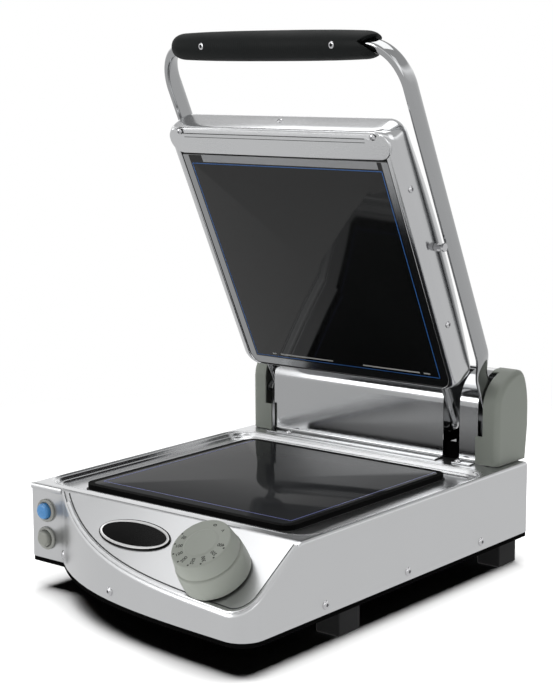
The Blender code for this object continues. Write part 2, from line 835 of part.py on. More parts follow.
def make_lower_plate(root, glass, rubber, steel, wool, wire):
    """Glass ceramic plate with its seal, heater pan, insulation and element."""
    top = DECK_TOP - GLASS_SUNK
    under = top - GLASS_THICK
    floor = DECK_TOP - BASIN_DEPTH
    plate_piece = piece("lower_glass", plate(under, top, glass_outline()), glass, root)
    bevel(plate_piece, GLASS_EDGE, 2, angle=EDGE_ANGLE)
    ring = glass_outline(SEAL_INSET), glass_outline(SEAL_WIDTH)
    piece("lower_glass_seal", plate(floor + FIT, under - FIT, *ring), rubber, root)
    make_heater(
        "lower", root, steel, wool, wire, under - FIT, -1,
        GLASS_WIDTH / 2 - OPENING_EDGE - FIT,
        GLASS_FRONT + OPENING_EDGE + FIT,
        GLASS_FRONT + GLASS_LENGTH - OPENING_EDGE - FIT,
    )


def make_heater(label, parent, steel, wool, wire, rim, way, half, front, back, location=(0, 0, 0)):
    """A heater pan against a glass, way +1 or -1 from its rim, with insulation and element."""
    placing = {"parent": parent, "location": location}
    base = rim + way * PAN_DEPTH
    inner = base - way * PAN_WALL
    outline = rounded_rectangle(-half, half, front, back, PAN_CORNER)
    hollow = inset(outline, PAN_WALL)
    pan = piece(label + "_heater_pan", plate(min(rim, base), max(rim, base), outline), steel, **placing)
    beyond = rim - way * OVERRUN
    room = plate(min(beyond, inner), max(beyond, inner), hollow)
    boolean(pan, cutter(label + "_pan_room", room, **placing))
    bed_low = inner - way * FIT
    bed_top = bed_low - way * INSULATION_THICK
    bed = plate(min(bed_low, bed_top), max(bed_low, bed_top), inset(hollow, FIT))
    piece(label + "_insulation", bed, wool, **placing)
    z = bed_top - way * (ELEMENT_RADIUS + FIT)
    pitch = (2 * half - 2 * PAN_EDGE) / ELEMENT_RUNS
    reach = pitch / 2
    route = []
    for run in range(ELEMENT_RUNS):
        x = PAN_EDGE - half + pitch * (run + 0.5)
        turn = back - PAN_EDGE - reach if run % 2 == 0 else front + PAN_EDGE + reach
        start = front + PAN_EDGE + reach if run % 2 == 0 else back - PAN_EDGE - reach
        route.append((x, start, z))
        route.append((x, turn, z))
        if run < ELEMENT_RUNS - 1:
            sign = 1 if run % 2 == 0 else -1
            bend = arc(0, 0, reach, 180, 0, 6)
            route += [(x + reach + u, turn + sign * v, z) for u, v in bend[1:-1]]
    piece(label + "_element", tube(route, ELEMENT_RADIUS, 1), wire, **placing)


def make_knob(root, panel, housing, plastic, steel, brass):
    """Dial knob, its shaft, and the thermostat that it turns."""
    seat = empty("knob_axis", panel, (KNOB_X, -KNOB_DOWN, 0))
    cone_low = KNOB_SKIRT_HEIGHT + 2 * KNOB_GROOVE
    rim = KNOB_FACE_RADIUS - KNOB_EDGE
    ceiling = KNOB_HEIGHT - KNOB_WALL
    bore = SHAFT_RADIUS + FIT
    bore_top = KNOB_HEIGHT - KNOB_CROWN
    neck = KNOB_RADIUS - KNOB_GROOVE
    foot = KNOB_SKIRT_RADIUS - KNOB_EDGE
    profile = [
        (0, KNOB_HEIGHT), (rim, KNOB_HEIGHT), (KNOB_FACE_RADIUS, KNOB_HEIGHT - KNOB_EDGE),
        (KNOB_RADIUS, cone_low + KNOB_GROOVE), (neck, cone_low), (neck, KNOB_SKIRT_HEIGHT + KNOB_GROOVE),
        (KNOB_RADIUS + KNOB_GROOVE, KNOB_SKIRT_HEIGHT),
        (KNOB_SKIRT_RADIUS, KNOB_SKIRT_HEIGHT - KNOB_WALL), (foot, KNOB_LIFT),
        (foot - KNOB_WALL, KNOB_LIFT), (foot - KNOB_WALL, KNOB_SKIRT_HEIGHT - KNOB_WALL),
        (KNOB_FACE_RADIUS - 2 * KNOB_WALL, ceiling), (KNOB_BOSS_RADIUS, ceiling),
        (KNOB_BOSS_RADIUS, NUT_TOP + KNOB_WALL), (bore, NUT_TOP + KNOB_WALL), (bore, bore_top),
        (0, bore_top),
    ]
    piece("knob", turned(profile, KNOB_STEPS), plastic, seat)
    shaft = cylinder(SHAFT_RADIUS, -SHAFT_DEPTH, bore_top - FIT)
    piece("knob_shaft", shaft, steel, seat)

    under = -SHEET - FIT
    running = SHAFT_RADIUS + FIT
    body = [
        (0, -SHAFT_DEPTH - FIT), (running, -SHAFT_DEPTH - FIT), (running, NUT_TOP),
        (SHAFT_BUSH_RADIUS, NUT_TOP), (SHAFT_BUSH_RADIUS, under), (THERMOSTAT_RADIUS, under),
        (THERMOSTAT_RADIUS, under - THERMOSTAT_DEPTH), (0, under - THERMOSTAT_DEPTH),
    ]
    piece("thermostat_body", turned(body, ROUND_STEPS), brass, seat)
    hexagon = circle(0, 0, NUT_RADIUS, 6)
    nut = plate(FIT, NUT_TOP - FIT, hexagon, circle(0, 0, SHAFT_BUSH_RADIUS + FIT))
    piece("thermostat_nut", nut, steel, seat)
    hole = cylinder(SHAFT_BUSH_RADIUS + FIT, -2 * OVERRUN, OVERRUN)
    boolean(housing, cutter("shaft_hole", hole, seat))


def ellipse(half_length, half_width, steps=30):
    """Oval outline about the middle."""
    outline = []
    for i in range(steps):
        angle = 2 * math.pi * i / steps
        outline.append((half_length * math.cos(angle), half_width * math.sin(angle)))
    return outline


def make_badge(panel, black, chrome):
    """Bare oval plate on the panel with a raised ring."""
    seat = empty("badge_seat", panel, (BADGE_X, -BADGE_DOWN, 0))
    outer = ellipse(BADGE_HALF_LENGTH, BADGE_HALF_WIDTH)
    piece("badge_plate", plate(FIT, BADGE_THICK - BADGE_FIELD_SUNK, outer), black, seat)
    ring = inset(outer, BADGE_RIM)
    low = BADGE_THICK - BADGE_FIELD_SUNK + FIT
    piece("badge_ring", plate(low, low + BADGE_FIELD_SUNK, ring, inset(ring, BADGE_RIM)), chrome, seat)


def make_buttons(root, housing, tray, blue, grey, black):
    """Two push buttons in the switch column, with bezels and switches."""
    for name, height, finish in (("power", POWER_HEIGHT, blue), ("start", START_HEIGHT, grey)):
        place_of = (BUTTON_X, 0, WALL_LOW + height)
        facing = (math.pi / 2, 0, 0)
        seat = empty(name + "_seat", root, place_of, facing)
        bore = CAP_RADIUS + FIT
        ring = [
            (bore, BEZEL_PROUD), (BEZEL_RADIUS - CAP_EDGE, BEZEL_PROUD),
            (BEZEL_RADIUS, BEZEL_PROUD - CAP_EDGE), (BEZEL_RADIUS, FIT), (BEZEL_BARREL_RADIUS, FIT),
            (BEZEL_BARREL_RADIUS, -BEZEL_DEPTH), (bore, -BEZEL_DEPTH),
        ]
        piece(name + "_bezel", turned(ring, closed=True), grey, seat)
        stem = STEM_RADIUS
        cap = [
            (0, CAP_PROUD), (CAP_RADIUS - CAP_EDGE, CAP_PROUD), (CAP_RADIUS, CAP_PROUD - CAP_EDGE),
            (CAP_RADIUS, -BUTTON_TRAVEL), (stem, -BUTTON_TRAVEL), (stem, BUTTON_TRAVEL - BEZEL_DEPTH),
            (0, BUTTON_TRAVEL - BEZEL_DEPTH),
        ]
        piece(name + "_button", turned(cap), finish, seat)
        half = SWITCH_WIDTH / 2
        back = -BEZEL_DEPTH - FIT
        body = block((-half, -half, back - SWITCH_DEPTH), (half, half, back))
        switch = piece(name + "_switch", body, black, seat)
        bevel(switch, CAP_EDGE, 1)
        barrel = cylinder(BEZEL_BARREL_RADIUS + FIT, -BEZEL_DEPTH, OVERRUN)
        hole = cutter(name + "_hole", barrel, seat)
        boolean(housing, hole)
        boolean(tray, hole)


def cover_line(depth):
    """Side view of the rear cover's sheet at a depth from its outer face, front to back."""
    seat = DECK_TOP + FIT
    wall = COVER_WALL_Y
    top = DECK_TOP + COVER_TOP
    bend_y = wall - COVER_BEND
    bend_z = seat + SHEET + COVER_BEND
    line = [(COVER_FLANGE_FRONT, seat + SHEET - depth)]
    line += arc(bend_y, bend_z, COVER_BEND + depth, -90, 0, 3)
    line += arc(wall + COVER_ARC, top - COVER_ARC, COVER_ARC - depth, 180, 90, 8)
    back = COVER_BACK - COVER_BACK_BEND
    line += arc(back, top - COVER_BACK_BEND, COVER_BACK_BEND - depth, 90, 0, 4)
    line.append((COVER_BACK - depth, DECK_TOP + COVER_BACK_LIFT))
    return line


def make_rear_cover(root, housing, steel):
    """Bent sheet over the hinge, with the slot for the lid's guide tube and its return tab."""
    outline = cover_line(0) + cover_line(SHEET)[::-1]
    sheet = plate(-COVER_HALF, COVER_HALF, outline)
    sheet.transform(SIDE_VIEW)
    cover = piece("rear_cover", sheet, steel, root)
    low = (CABLE_SLOT_LEFT, COVER_FLANGE_FRONT - OVERRUN, DECK_TOP - OVERRUN)
    high = (CABLE_SLOT_RIGHT, CABLE_SLOT_END, DECK_TOP + COVER_TOP + OVERRUN)
    tab_floor = DECK_TOP + 2 * SHEET
    tab_low = (CABLE_SLOT_LEFT - SHEET, COVER_WALL_Y + SHEET / 2, tab_floor)
    tab_high = (CABLE_SLOT_LEFT, COVER_WALL_Y + COVER_TAB_LENGTH, tab_floor + COVER_TAB_HEIGHT)
    boolean(cover, cutter("cable_slot", block(low, high), root))
    boolean(cover, cutter("slot_tab", block(tab_low, tab_high), root), "UNION")
    seats = [Matrix.Translation((x, COVER_SCREW_Y, DECK_TOP + FIT + SHEET)) for x in COVER_SCREWS_X]
    for hand, seat in zip(HANDS, seats):
        piece("rear_cover_screw_" + hand, moved(screw_mesh(), seat), steel, root)
    holes = cutter("cover_screw_holes", joined(*[moved(screw_hole(), seat) for seat in seats]), root)
    boolean(cover, holes)
    boolean(housing, holes)


def tower_outline(distance=0.0, steps=7):
    """Side view of a tower cover: two elliptic shoulders over a slightly tapered base."""
    base = DECK_TOP + TOWER_LIFT
    top = DECK_TOP + TOWER_TOP
    peak = TOWER_BACK - TOWER_BACK_RISE
    outline = [(TOWER_BACK - TOWER_BASE_TAPER, base)]
    outline.append((TOWER_BACK, top - TOWER_BACK_DROP - TOWER_SHOULDER))
    for i in range(steps + 1):
        angle = math.pi / 2 * i / steps
        y = peak + TOWER_BACK_RISE * math.cos(angle)
        outline.append((y, top - TOWER_BACK_DROP * (1 - math.sin(angle))))
    for i in range(1, steps + 1):
        angle = math.pi / 2 * i / steps
        y = peak - (peak - TOWER_FRONT) * math.sin(angle)
        outline.append((y, top - TOWER_FRONT_DROP * (1 - math.cos(angle))))
    outline.append((TOWER_FRONT, base))
    drawn_in = inset(outline, distance)
    drawn_in[0] = (drawn_in[0][0], base)
    drawn_in[-1] = (drawn_in[-1][0], base)
    return drawn_in


def tower_mesh(wall):
    """A tower as a solid: its side view carried outwards and drawn in round the outer edge."""
    rings = []
    start = TOWER_INNER if wall == 0 else TOWER_INNER - OVERRUN
    fold = TOWER_EDGE - wall
    stations = [(start, wall)]
    for kept, along in arc(0, TOWER_OUTER - TOWER_EDGE, fold, 0, 90, 4):
        stations.append((along, TOWER_EDGE - kept))
    for x, distance in stations:
        ring = tower_outline(distance)
        if wall:
            for end in (0, -1):
                ring[end] = (ring[end][0], ring[end][1] - OVERRUN)
        rings.append([(x, y, z) for y, z in ring])
    return loft(rings)


def make_towers(root, plastic):
    """Hollow covers over both hinge ends, each with the slot that its arm swings in."""
    mirror = Matrix.Scale(-1, 4, (1, 0, 0))
    for hand, side in (("right", Matrix.Identity(4)), ("left", mirror)):
        tower = piece("tower_cover_" + hand, moved(tower_mesh(0), side), plastic, root)
        room = cutter("tower_room_" + hand, moved(tower_mesh(TOWER_WALL), side), root)
        boolean(tower, room)
        low = (TOWER_INNER - OVERRUN, TOWER_FRONT - OVERRUN, DECK_TOP + ARM_SLOT_LOW)
        high = (TOWER_INNER + ARM_SLOT_WIDTH, ARM_SLOT_END, DECK_TOP + TOWER_TOP + OVERRUN)
        boolean(tower, cutter("arm_slot_" + hand, moved(block(low, high), side), root))


def bracket_outline():
    """Side view of a hinge bracket: a round head over a wide foot, about the hinge line."""
    foot = DECK_TOP + FIT - HINGE_Z
    head = BRACKET_HEAD
    outline = [(BRACKET_BACK, foot), (BRACKET_BACK, foot + BRACKET_THICK)]
    outline += arc(0, 0, head, 20, 160, 8)
    outline += [(-BRACKET_FRONT, foot + BRACKET_THICK), (-BRACKET_FRONT, foot)]
    return outline


def spring_route():
    """Torsion spring round the axle, its turns side by side along X."""
    start = BRACKET_X + BRACKET_THICK + FIT + SPRING_WIRE
    pitch = 2 * SPRING_WIRE + SPRING_GAP
    points = []
    per_turn = SPRING_STEPS
    for i in range(round(SPRING_TURNS * per_turn) + 1):
        angle = 2 * math.pi * i / per_turn
        x = start + pitch * i / per_turn
        points.append((x, SPRING_RADIUS * math.cos(angle), SPRING_RADIUS * math.sin(angle)))
    return points


def make_hinges(root, hinge, arm_axis, steel, bronze, wire):
    """At each end: bracket, bush and spring on the deck, axle and clip on the arm."""
    mirror = Matrix.Scale(-1, 4, (1, 0, 0))
    foot_face = FOOT_X + FOOT_THICK / 2
    hole = BUSH_RADIUS + FIT
    bore = AXLE_RADIUS + FIT
    for hand, side in (("right", Matrix.Identity(4)), ("left", mirror)):
        upright = plate(BRACKET_X, BRACKET_X + BRACKET_THICK, bracket_outline(), circle(0, 0, hole))
        upright.transform(SIDE_VIEW)
        bracket = piece("hinge_bracket_" + hand, moved(upright, side), steel, hinge)
        foot = DECK_TOP + FIT - HINGE_Z
        low = (BRACKET_X + BRACKET_THICK / 2, -BRACKET_FRONT, foot)
        high = (BRACKET_X + BRACKET_FOOT, BRACKET_BACK, foot + BRACKET_THICK)
        boolean(bracket, cutter("bracket_foot_" + hand, moved(block(low, high), side), hinge), "UNION")
        bush = [
            (bore, BRACKET_X + BRACKET_THICK + FIT), (BUSH_RADIUS, BRACKET_X + BRACKET_THICK + FIT),
            (BUSH_RADIUS, BRACKET_X - FIT), (BUSH_FLANGE_RADIUS, BRACKET_X - FIT),
            (BUSH_FLANGE_RADIUS, foot_face + FIT), (bore, foot_face + FIT),
        ]
        out = side @ Matrix.Rotation(math.pi / 2, 4, "Y")
        piece("hinge_bush_" + hand, moved(turned(bush, ROUND_STEPS, closed=True), out), bronze, hinge)
        spring = moved(tube(spring_route(), SPRING_WIRE, 1), side)
        piece("torsion_spring_" + hand, spring, wire, hinge)
        head = FOOT_X - FOOT_THICK / 2 - FIT
        axle = [
            (0, AXLE_END), (AXLE_RADIUS, AXLE_END), (AXLE_RADIUS, head), (AXLE_HEAD_RADIUS, head),
            (AXLE_HEAD_RADIUS, head - AXLE_HEAD), (0, head - AXLE_HEAD),
        ]
        piece("hinge_axle_" + hand, moved(turned(axle, ROUND_STEPS), out), steel, arm_axis)
        clip_low = AXLE_END - 2 * CLIP_THICK
        clip = [
            (bore, clip_low + CLIP_THICK), (CLIP_RADIUS, clip_low + CLIP_THICK),
            (CLIP_RADIUS, clip_low), (bore, clip_low),
        ]
        ring = turned(clip, SCREW_STEPS, closed=True)
        piece("circlip_" + hand, moved(ring, out), wire, arm_axis)


def arm_stations():
    """Half of the arm tube from the grip's middle: x, v, n, turn, half thickness, half width."""
    flat = ARM_THICK / 2
    wide = ARM_WIDTH / 2
    rod = HANDLE_TUBE_RADIUS
    start_x = ARM_X - HANDLE_BEND
    drop = HANDLE_V - ARM_BEND_V
    stations = [(0, HANDLE_V, HANDLE_N, 0, rod, rod)]
    stations.append((GRIP_SCREW_X + ROD_PAST_SCREW, HANDLE_V, HANDLE_N, 0, rod, rod))
    steps = 7
    for i in range(steps + 1):
        share = i / steps
        turn = math.pi / 2 * share
        angle = math.atan2(drop * math.sin(turn), HANDLE_BEND * math.cos(turn))
        x = start_x + HANDLE_BEND * math.sin(turn)
        v = ARM_BEND_V + drop * math.cos(turn)
        n = HANDLE_N + (ARM_N - HANDLE_N) * share
        stations.append((x, v, n, angle, rod + (flat - rod) * share, rod + (wide - rod) * share))
    stations.append((ARM_X, ARM_JOG_TOP, ARM_N, math.pi / 2, flat, wide))
    foot_half = FOOT_THICK / 2
    slope = math.atan((ARM_X - FOOT_X) / (ARM_JOG_TOP - ARM_JOG_END))
    for share in ARM_JOG_SHARES:
        x = ARM_X + (FOOT_X - ARM_X) * share
        v = ARM_JOG_TOP + (ARM_JOG_END - ARM_JOG_TOP) * share
        half = flat + (foot_half - flat) * share
        stations.append((x, v, ARM_N, math.pi / 2 + slope, half, wide))
    stations.append((FOOT_X, ARM_JOG_END, ARM_N, math.pi / 2, foot_half, wide))
    stations.append((FOOT_X, HINGE_V - ARM_FOOT_END, ARM_N, math.pi / 2, foot_half, wide))
    return stations


def arm_ring(station, steps=12):
    """Flattened round section across the arm's run."""
    x, v, n, angle, thick, width = station
    ring = []
    for i in range(steps):
        turn = 2 * math.pi * (i + 0.5) / steps
        power = SECTION_SQUARENESS
        across = math.copysign(abs(math.cos(turn)) ** power, math.cos(turn)) * thick
        along_n = math.copysign(abs(math.sin(turn)) ** power, math.sin(turn)) * width
        ring.append((x + across * math.sin(angle), v + across * math.cos(angle), n + along_n))
    return ring


def make_handle_frame(frame, steel):
    """Both arms and the rod through the grip, bent from one tube."""
    half = arm_stations()
    left = [(-x, v, n, -angle, thick, width) for x, v, n, angle, thick, width in half[:0:-1]]
    rings = [arm_ring(station) for station in left + half]
    obj = piece("handle_frame", loft(rings), steel, **frame)
    hole = cylinder(AXLE_RADIUS + FIT, -SIDE, SIDE)
    turn = Matrix.Translation((0, HINGE_V, HINGE_N)) @ Matrix.Rotation(math.pi / 2, 4, "Y")
    boolean(obj, cutter("axle_hole", moved(hole, turn), **frame))
    grip = Matrix.Translation((0, HANDLE_V, HANDLE_N)) @ Matrix.Rotation(-GRIP_TURN, 4, "X")
    holes = []
    for x in (-GRIP_SCREW_X, GRIP_SCREW_X):
        reach = GRIP_MIDDLE_RADIUS
        hole = cylinder(SCREW_SHANK_RADIUS + FIT, -reach, reach, SCREW_STEPS)
        holes.append(moved(hole, grip @ Matrix.Translation((x, 0, 0))))
    boolean(obj, cutter("grip_screw_holes", joined(*holes), **frame))
    return obj


def grip_radius(x):
    """Outer radius of the grip: full in the middle, thinner to the ends."""
    share = abs(x) / GRIP_HALF
    return GRIP_MIDDLE_RADIUS - (GRIP_MIDDLE_RADIUS - GRIP_END_RADIUS) * share ** GRIP_TAPER_POWER


def grip_mesh():
    """Both grip shells as one turned sleeve along X, its rims rounded off."""
    end = GRIP_HALF
    full = GRIP_HALF - GRIP_END_EDGE
    profile = [(GRIP_BORE, end), (GRIP_END_RADIUS - GRIP_END_EDGE, end)]
    for i in range(GRIP_STATIONS + 1):
        x = full - 2 * full * i / GRIP_STATIONS
        profile.append((grip_radius(x), x))
    profile += [(GRIP_END_RADIUS - GRIP_END_EDGE, -end), (GRIP_BORE, -end)]
    sleeve = turned(profile, GRIP_STEPS, closed=True)
    sleeve.transform(Matrix.Rotation(math.pi / 2, 4, "Y"))
    return sleeve


def grip_notches():
    """Wedges that cut a V into both ends of the grip, seen from its front."""
    deep = 2 * GRIP_MIDDLE_RADIUS
    open_half = GRIP_NOTCH_HALF * (GRIP_NOTCH + OVERRUN) / GRIP_NOTCH
    wedges = []
    for side in (-1, 1):
        apex = (side * (GRIP_HALF - GRIP_NOTCH), 0)
        mouth = side * (GRIP_HALF + OVERRUN)
        outline = [apex, (mouth, -side * open_half), (mouth, side * open_half)]
        wedges.append(plate(-deep, deep, outline))
    return joined(*wedges)


def make_grip(frame, plastic, steel):
    """Two grip shells round the rod, split across their screws."""
    turn = (-GRIP_TURN, 0, 0)
    parent = frame["parent"]
    x, y, z = frame["location"]
    middle = (x, y + HANDLE_V, z + HANDLE_N)
    reach = GRIP_HALF + OVERRUN
    deep = 2 * GRIP_MIDDLE_RADIUS
    placing = {"parent": parent, "location": middle, "rotation": turn}
    holes = []
    for hand, side in zip(HANDS, (-GRIP_SCREW_X, GRIP_SCREW_X)):
        seat = Matrix.Translation((side, 0, grip_radius(side) - SCREW_HEAD_HEIGHT))
        head = [
            (0, SCREW_HEAD_HEIGHT), (GRIP_SCREW_RADIUS, SCREW_HEAD_HEIGHT), (GRIP_SCREW_RADIUS, 0),
            (SCREW_SHANK_RADIUS, 0), (SCREW_SHANK_RADIUS, -GRIP_SCREW_LENGTH), (0, -GRIP_SCREW_LENGTH),
        ]
        piece("grip_screw_" + hand, moved(turned(head, SCREW_STEPS), seat), steel, **placing)
        room = GRIP_SCREW_RADIUS + FIT
        narrow = SCREW_SHANK_RADIUS + FIT
        end = -GRIP_SCREW_LENGTH - FIT
        top = GRIP_MIDDLE_RADIUS
        wide = [(0, top), (room, top), (room, -FIT), (narrow, -FIT), (narrow, end), (0, end)]
        holes.append(moved(turned(wide, SCREW_STEPS), seat))
    screw_room = cutter("grip_screw_room", joined(*holes), **placing)
    notches = cutter("grip_notches", grip_notches(), **placing)
    for label, low, high in (("front", -deep, FIT / 2), ("rear", -FIT / 2, deep)):
        shell = piece("grip_" + label, grip_mesh(), plastic, **placing)
        away = block((-reach, -deep, low), (reach, deep, high))
        boolean(shell, cutter("grip_half_" + label, away, **placing))
        boolean(shell, screw_room)
        boolean(shell, notches)


def lid_outline(distance):
    """Plan of the lid in x and v, drawn in by a distance."""
    return rounded_rectangle(
        distance - LID_HALF, LID_HALF - distance, LID_BACK_V + distance, LID_FRONT_V - distance,
        LID_CORNER - distance, 3,
    )


def lid_shell(wall):
    """The lid's housing as a solid from rim to outer face, or the room inside its walls."""
    rim = LID_RIM_N - wall
    outer = LID_OUTER_N + wall
    rim_fold = LID_RIM_FOLD - wall
    edge = LID_EDGE - wall
    rings = []
    for kept, risen in arc(0, 0, rim_fold, 90, 0, 2):
        outline = lid_outline(wall + rim_fold - kept)
        rings.append([(x, v, rim - rim_fold + risen) for x, v in outline])
    for kept, sunk in arc(0, 0, edge, 0, 90, 4):
        outline = lid_outline(wall + edge - kept)
        rings.append([(x, v, outer + edge - sunk) for x, v in outline])
    return loft(rings)


def bar_seat_outline():
    """Plan of the gap that the bar lies in: round behind its ends, square at the lid's front."""
    side = BAR_HALF + BAR_END_GAP
    back = BAR_BACK_V - BAR_END_GAP
    front = LID_FRONT_V - BAR_END_GAP
    radius = BAR_CORNER + BAR_END_GAP
    outline = arc(side - radius, back + radius, radius, -90, 0, 5)
    outline += [(side, front), (-side, front)]
    outline += arc(radius - side, back + radius, radius, 180, 270, 5)
    return outline


def make_bar(frame, steel):
    """Round ended bar with a stepped ledge along its front edge, each step's ends cut at a slant."""
    back = BAR_FACE_N - BAR_THICK
    outline = rounded_rectangle(-BAR_HALF, BAR_HALF, BAR_BACK_V, BAR_FRONT_V, BAR_CORNER, 6)
    bar = piece("front_bar", plate(back, BAR_FACE_N, outline), steel, **frame)
    bevel(bar, BAR_EDGE, 2, angle=EDGE_ANGLE)
    high = BAR_FACE_N + OVERRUN
    beyond = BAR_FRONT_V + OVERRUN
    for step, (breadth, drop) in enumerate(BAR_LEDGES):
        start = BAR_FRONT_V - breadth
        half = BAR_LEDGE_HALF
        slant = half + breadth + OVERRUN
        shape = [(-half, start), (half, start), (slant, beyond), (-slant, beyond)]
        ledge = plate(BAR_FACE_N - drop, high, shape)
        boolean(bar, cutter("bar_ledge_" + str(step + 1), ledge, **frame))


def make_lid(frame, steel, glass, rubber, wool, wire):
    """Lid housing, glass, heater, front bar with gaskets, and the pivot bolts."""
    housing = piece("lid_housing", lid_shell(0), steel, **frame)
    boolean(housing, cutter("lid_room", lid_shell(SHEET), **frame))
    low = LID_RIM_N - SHEET - OVERRUN
    high = LID_RIM_N + OVERRUN
    inner = SHEET + FIT
    window = rounded_rectangle(
        -LID_GLASS_HALF, LID_GLASS_HALF, LID_GLASS_BACK_V, LID_GLASS_FRONT_V, LID_GLASS_CORNER
    )
    boolean(housing, cutter("lid_window", plate(low, high, window), **frame))
    boolean(housing, cutter("bar_seat", plate(low, high, bar_seat_outline()), **frame))

    half = LID_GLASS_HALF + LID_LAP
    pane = rounded_rectangle(-half, half, LID_BACK_V + inner, BAR_BACK_V - FIT, LID_GLASS_CORNER)
    piece("lid_glass", plate(-LID_GLASS_THICK, 0, pane), glass, **frame)
    make_heater(
        "lid", frame["parent"], steel, wool, wire, -LID_GLASS_THICK - FIT, -1,
        LID_FIELD_HALF - LID_PAN_INSET, LID_PAN_BACK, LID_FIELD_LENGTH, frame["location"],
    )

    make_bar(frame, steel)
    under = BAR_FACE_N - BAR_THICK - FIT
    for hand, side in zip(HANDS, (-1, 1)):
        outer = side * (LID_HALF - inner)
        inward = outer - side * GASKET_LENGTH
        pad = rounded_rectangle(
            min(outer, inward), max(outer, inward), BAR_BACK_V, LID_FRONT_V - inner, LID_CORNER, 3
        )
        piece("bar_gasket_" + hand, plate(under - GASKET_THICK, under, pad), rubber, **frame)
    fasten_lid(housing, frame, steel)
    return housing


def fasten_lid(housing, frame, steel):
    """Holes for the screws in the lid's walls, and the pivot bolts with their nuts."""
    places = []
    for v in LID_SIDE_SCREWS_V:
        places += [along_x(side * LID_HALF, v, LID_SCREW_N, side) for side in (1, -1)]
    seat = Matrix.Translation((0, LID_FRONT_V, LID_FRONT_SCREW_N))
    places.append(seat @ Matrix.Rotation(-math.pi / 2, 4, "X"))
    holes = [moved(screw_hole(), matrix) for matrix in places]

    shank = PIVOT_BOLT_RADIUS
    tab_low, tab_high = pivot_tab_faces()
    bolt = [
        (0, tab_high + FIT + PIVOT_HEAD), (PIVOT_HEAD_RADIUS, tab_high + FIT + PIVOT_HEAD),
        (PIVOT_HEAD_RADIUS, tab_high + FIT), (shank, tab_high + FIT), (shank, tab_low - FIT),
        (PIVOT_HEAD_RADIUS, tab_low - FIT), (PIVOT_HEAD_RADIUS, LID_HALF + FIT), (shank, LID_HALF + FIT),
        (shank, LID_HALF - PIVOT_BOLT_END), (0, LID_HALF - PIVOT_BOLT_END),
    ]
    nut_high = LID_HALF - SHEET - FIT
    hexagon = circle(0, 0, PIVOT_HEAD_RADIUS, 6)
    nut = plate(nut_high - PIVOT_HEAD, nut_high, hexagon, circle(0, 0, shank + FIT, SCREW_STEPS))
    axis = Matrix.Translation((0, PIVOT_V, PIVOT_N)) @ Matrix.Rotation(math.pi / 2, 4, "Y")
    mirror = Matrix.Scale(-1, 4, (1, 0, 0))
    for hand, side in zip(HANDS, (mirror, Matrix.Identity(4))):
        piece("pivot_bolt_" + hand, moved(turned(bolt, SCREW_STEPS), side @ axis), steel, **frame)
        piece("pivot_nut_" + hand, moved(nut, side @ axis), steel, **frame)
        hole = cylinder(shank + FIT, LID_HALF - PIVOT_BOLT_END, LID_HALF + OVERRUN, SCREW_STEPS)
        holes.append(moved(hole, side @ axis))
    boolean(housing, cutter("lid_screw_holes", joined(*holes), **frame))


def pivot_tab_faces():
    """Inner and outer face of the right pivot tab along X."""
    return ARM_X - PIVOT_TAB_THICK / 2, ARM_X + PIVOT_TAB_THICK / 2


def add_pivot_tabs(handle, frame):
    """Tabs on the arms' front edges that the lid tilts on."""
    low, high = pivot_tab_faces()
    mirror = Matrix.Scale(-1, 4, (1, 0, 0))
    half = PIVOT_TAB_WIDTH / 2
    tab = block((low, PIVOT_V - half, ARM_N), (high, PIVOT_V + half, PIVOT_N + half))
    hole = cylinder(PIVOT_BOLT_RADIUS + FIT, low - OVERRUN, high + OVERRUN)
    axis = Matrix.Translation((0, PIVOT_V, PIVOT_N)) @ Matrix.Rotation(math.pi / 2, 4, "Y")
    for hand, side in (("right", Matrix.Identity(4)), ("left", mirror)):
        boolean(handle, cutter("pivot_tab_" + hand, moved(tab, side), **frame), "UNION")
        boolean(handle, cutter("pivot_hole_" + hand, moved(hole, side @ axis), **frame))


def guide_tube_route(beyond=0.0):
    """From inside the lid straight back, then round a bend to the middle."""
    route = [(TUBE_X, LID_BACK_V + TUBE_INSIDE + beyond, TUBE_N)]
    bend_x = TUBE_X - TUBE_BEND
    for x, v in arc(bend_x, TUBE_V + TUBE_BEND, TUBE_BEND, 0, -90, 6):
        route.append((x, v, TUBE_N))
    route.append((TUBE_X - TUBE_RUN - beyond, TUBE_V, TUBE_N))
    return route


def make_guide_tube(housing, frame, steel, plastic):
    """Tube that leads the lid's wires into the rear cover, and its saddle in the lid."""
    guide = piece("cable_guide_tube", tube(guide_tube_route(), TUBE_RADIUS, 3), steel, **frame)
    bore = tube(guide_tube_route(OVERRUN), TUBE_RADIUS - TUBE_WALL, 1)
    boolean(guide, cutter("guide_bore", bore, **frame))
    hole = cutter("guide_hole", tube(guide_tube_route()[:2], TUBE_RADIUS + FIT, 4), **frame)
    boolean(housing, hole)
    low = (TUBE_X - SADDLE_HALF, LID_BACK_V + LID_EDGE + FIT, LID_OUTER_N + SHEET + FIT)
    top = TUBE_N + TUBE_RADIUS + SADDLE_TOP
    high = (TUBE_X + SADDLE_HALF, LID_BACK_V + LID_EDGE + SADDLE_LENGTH, top)
    saddle = piece("tube_saddle", block(low, high), plastic, **frame)
    boolean(saddle, hole)


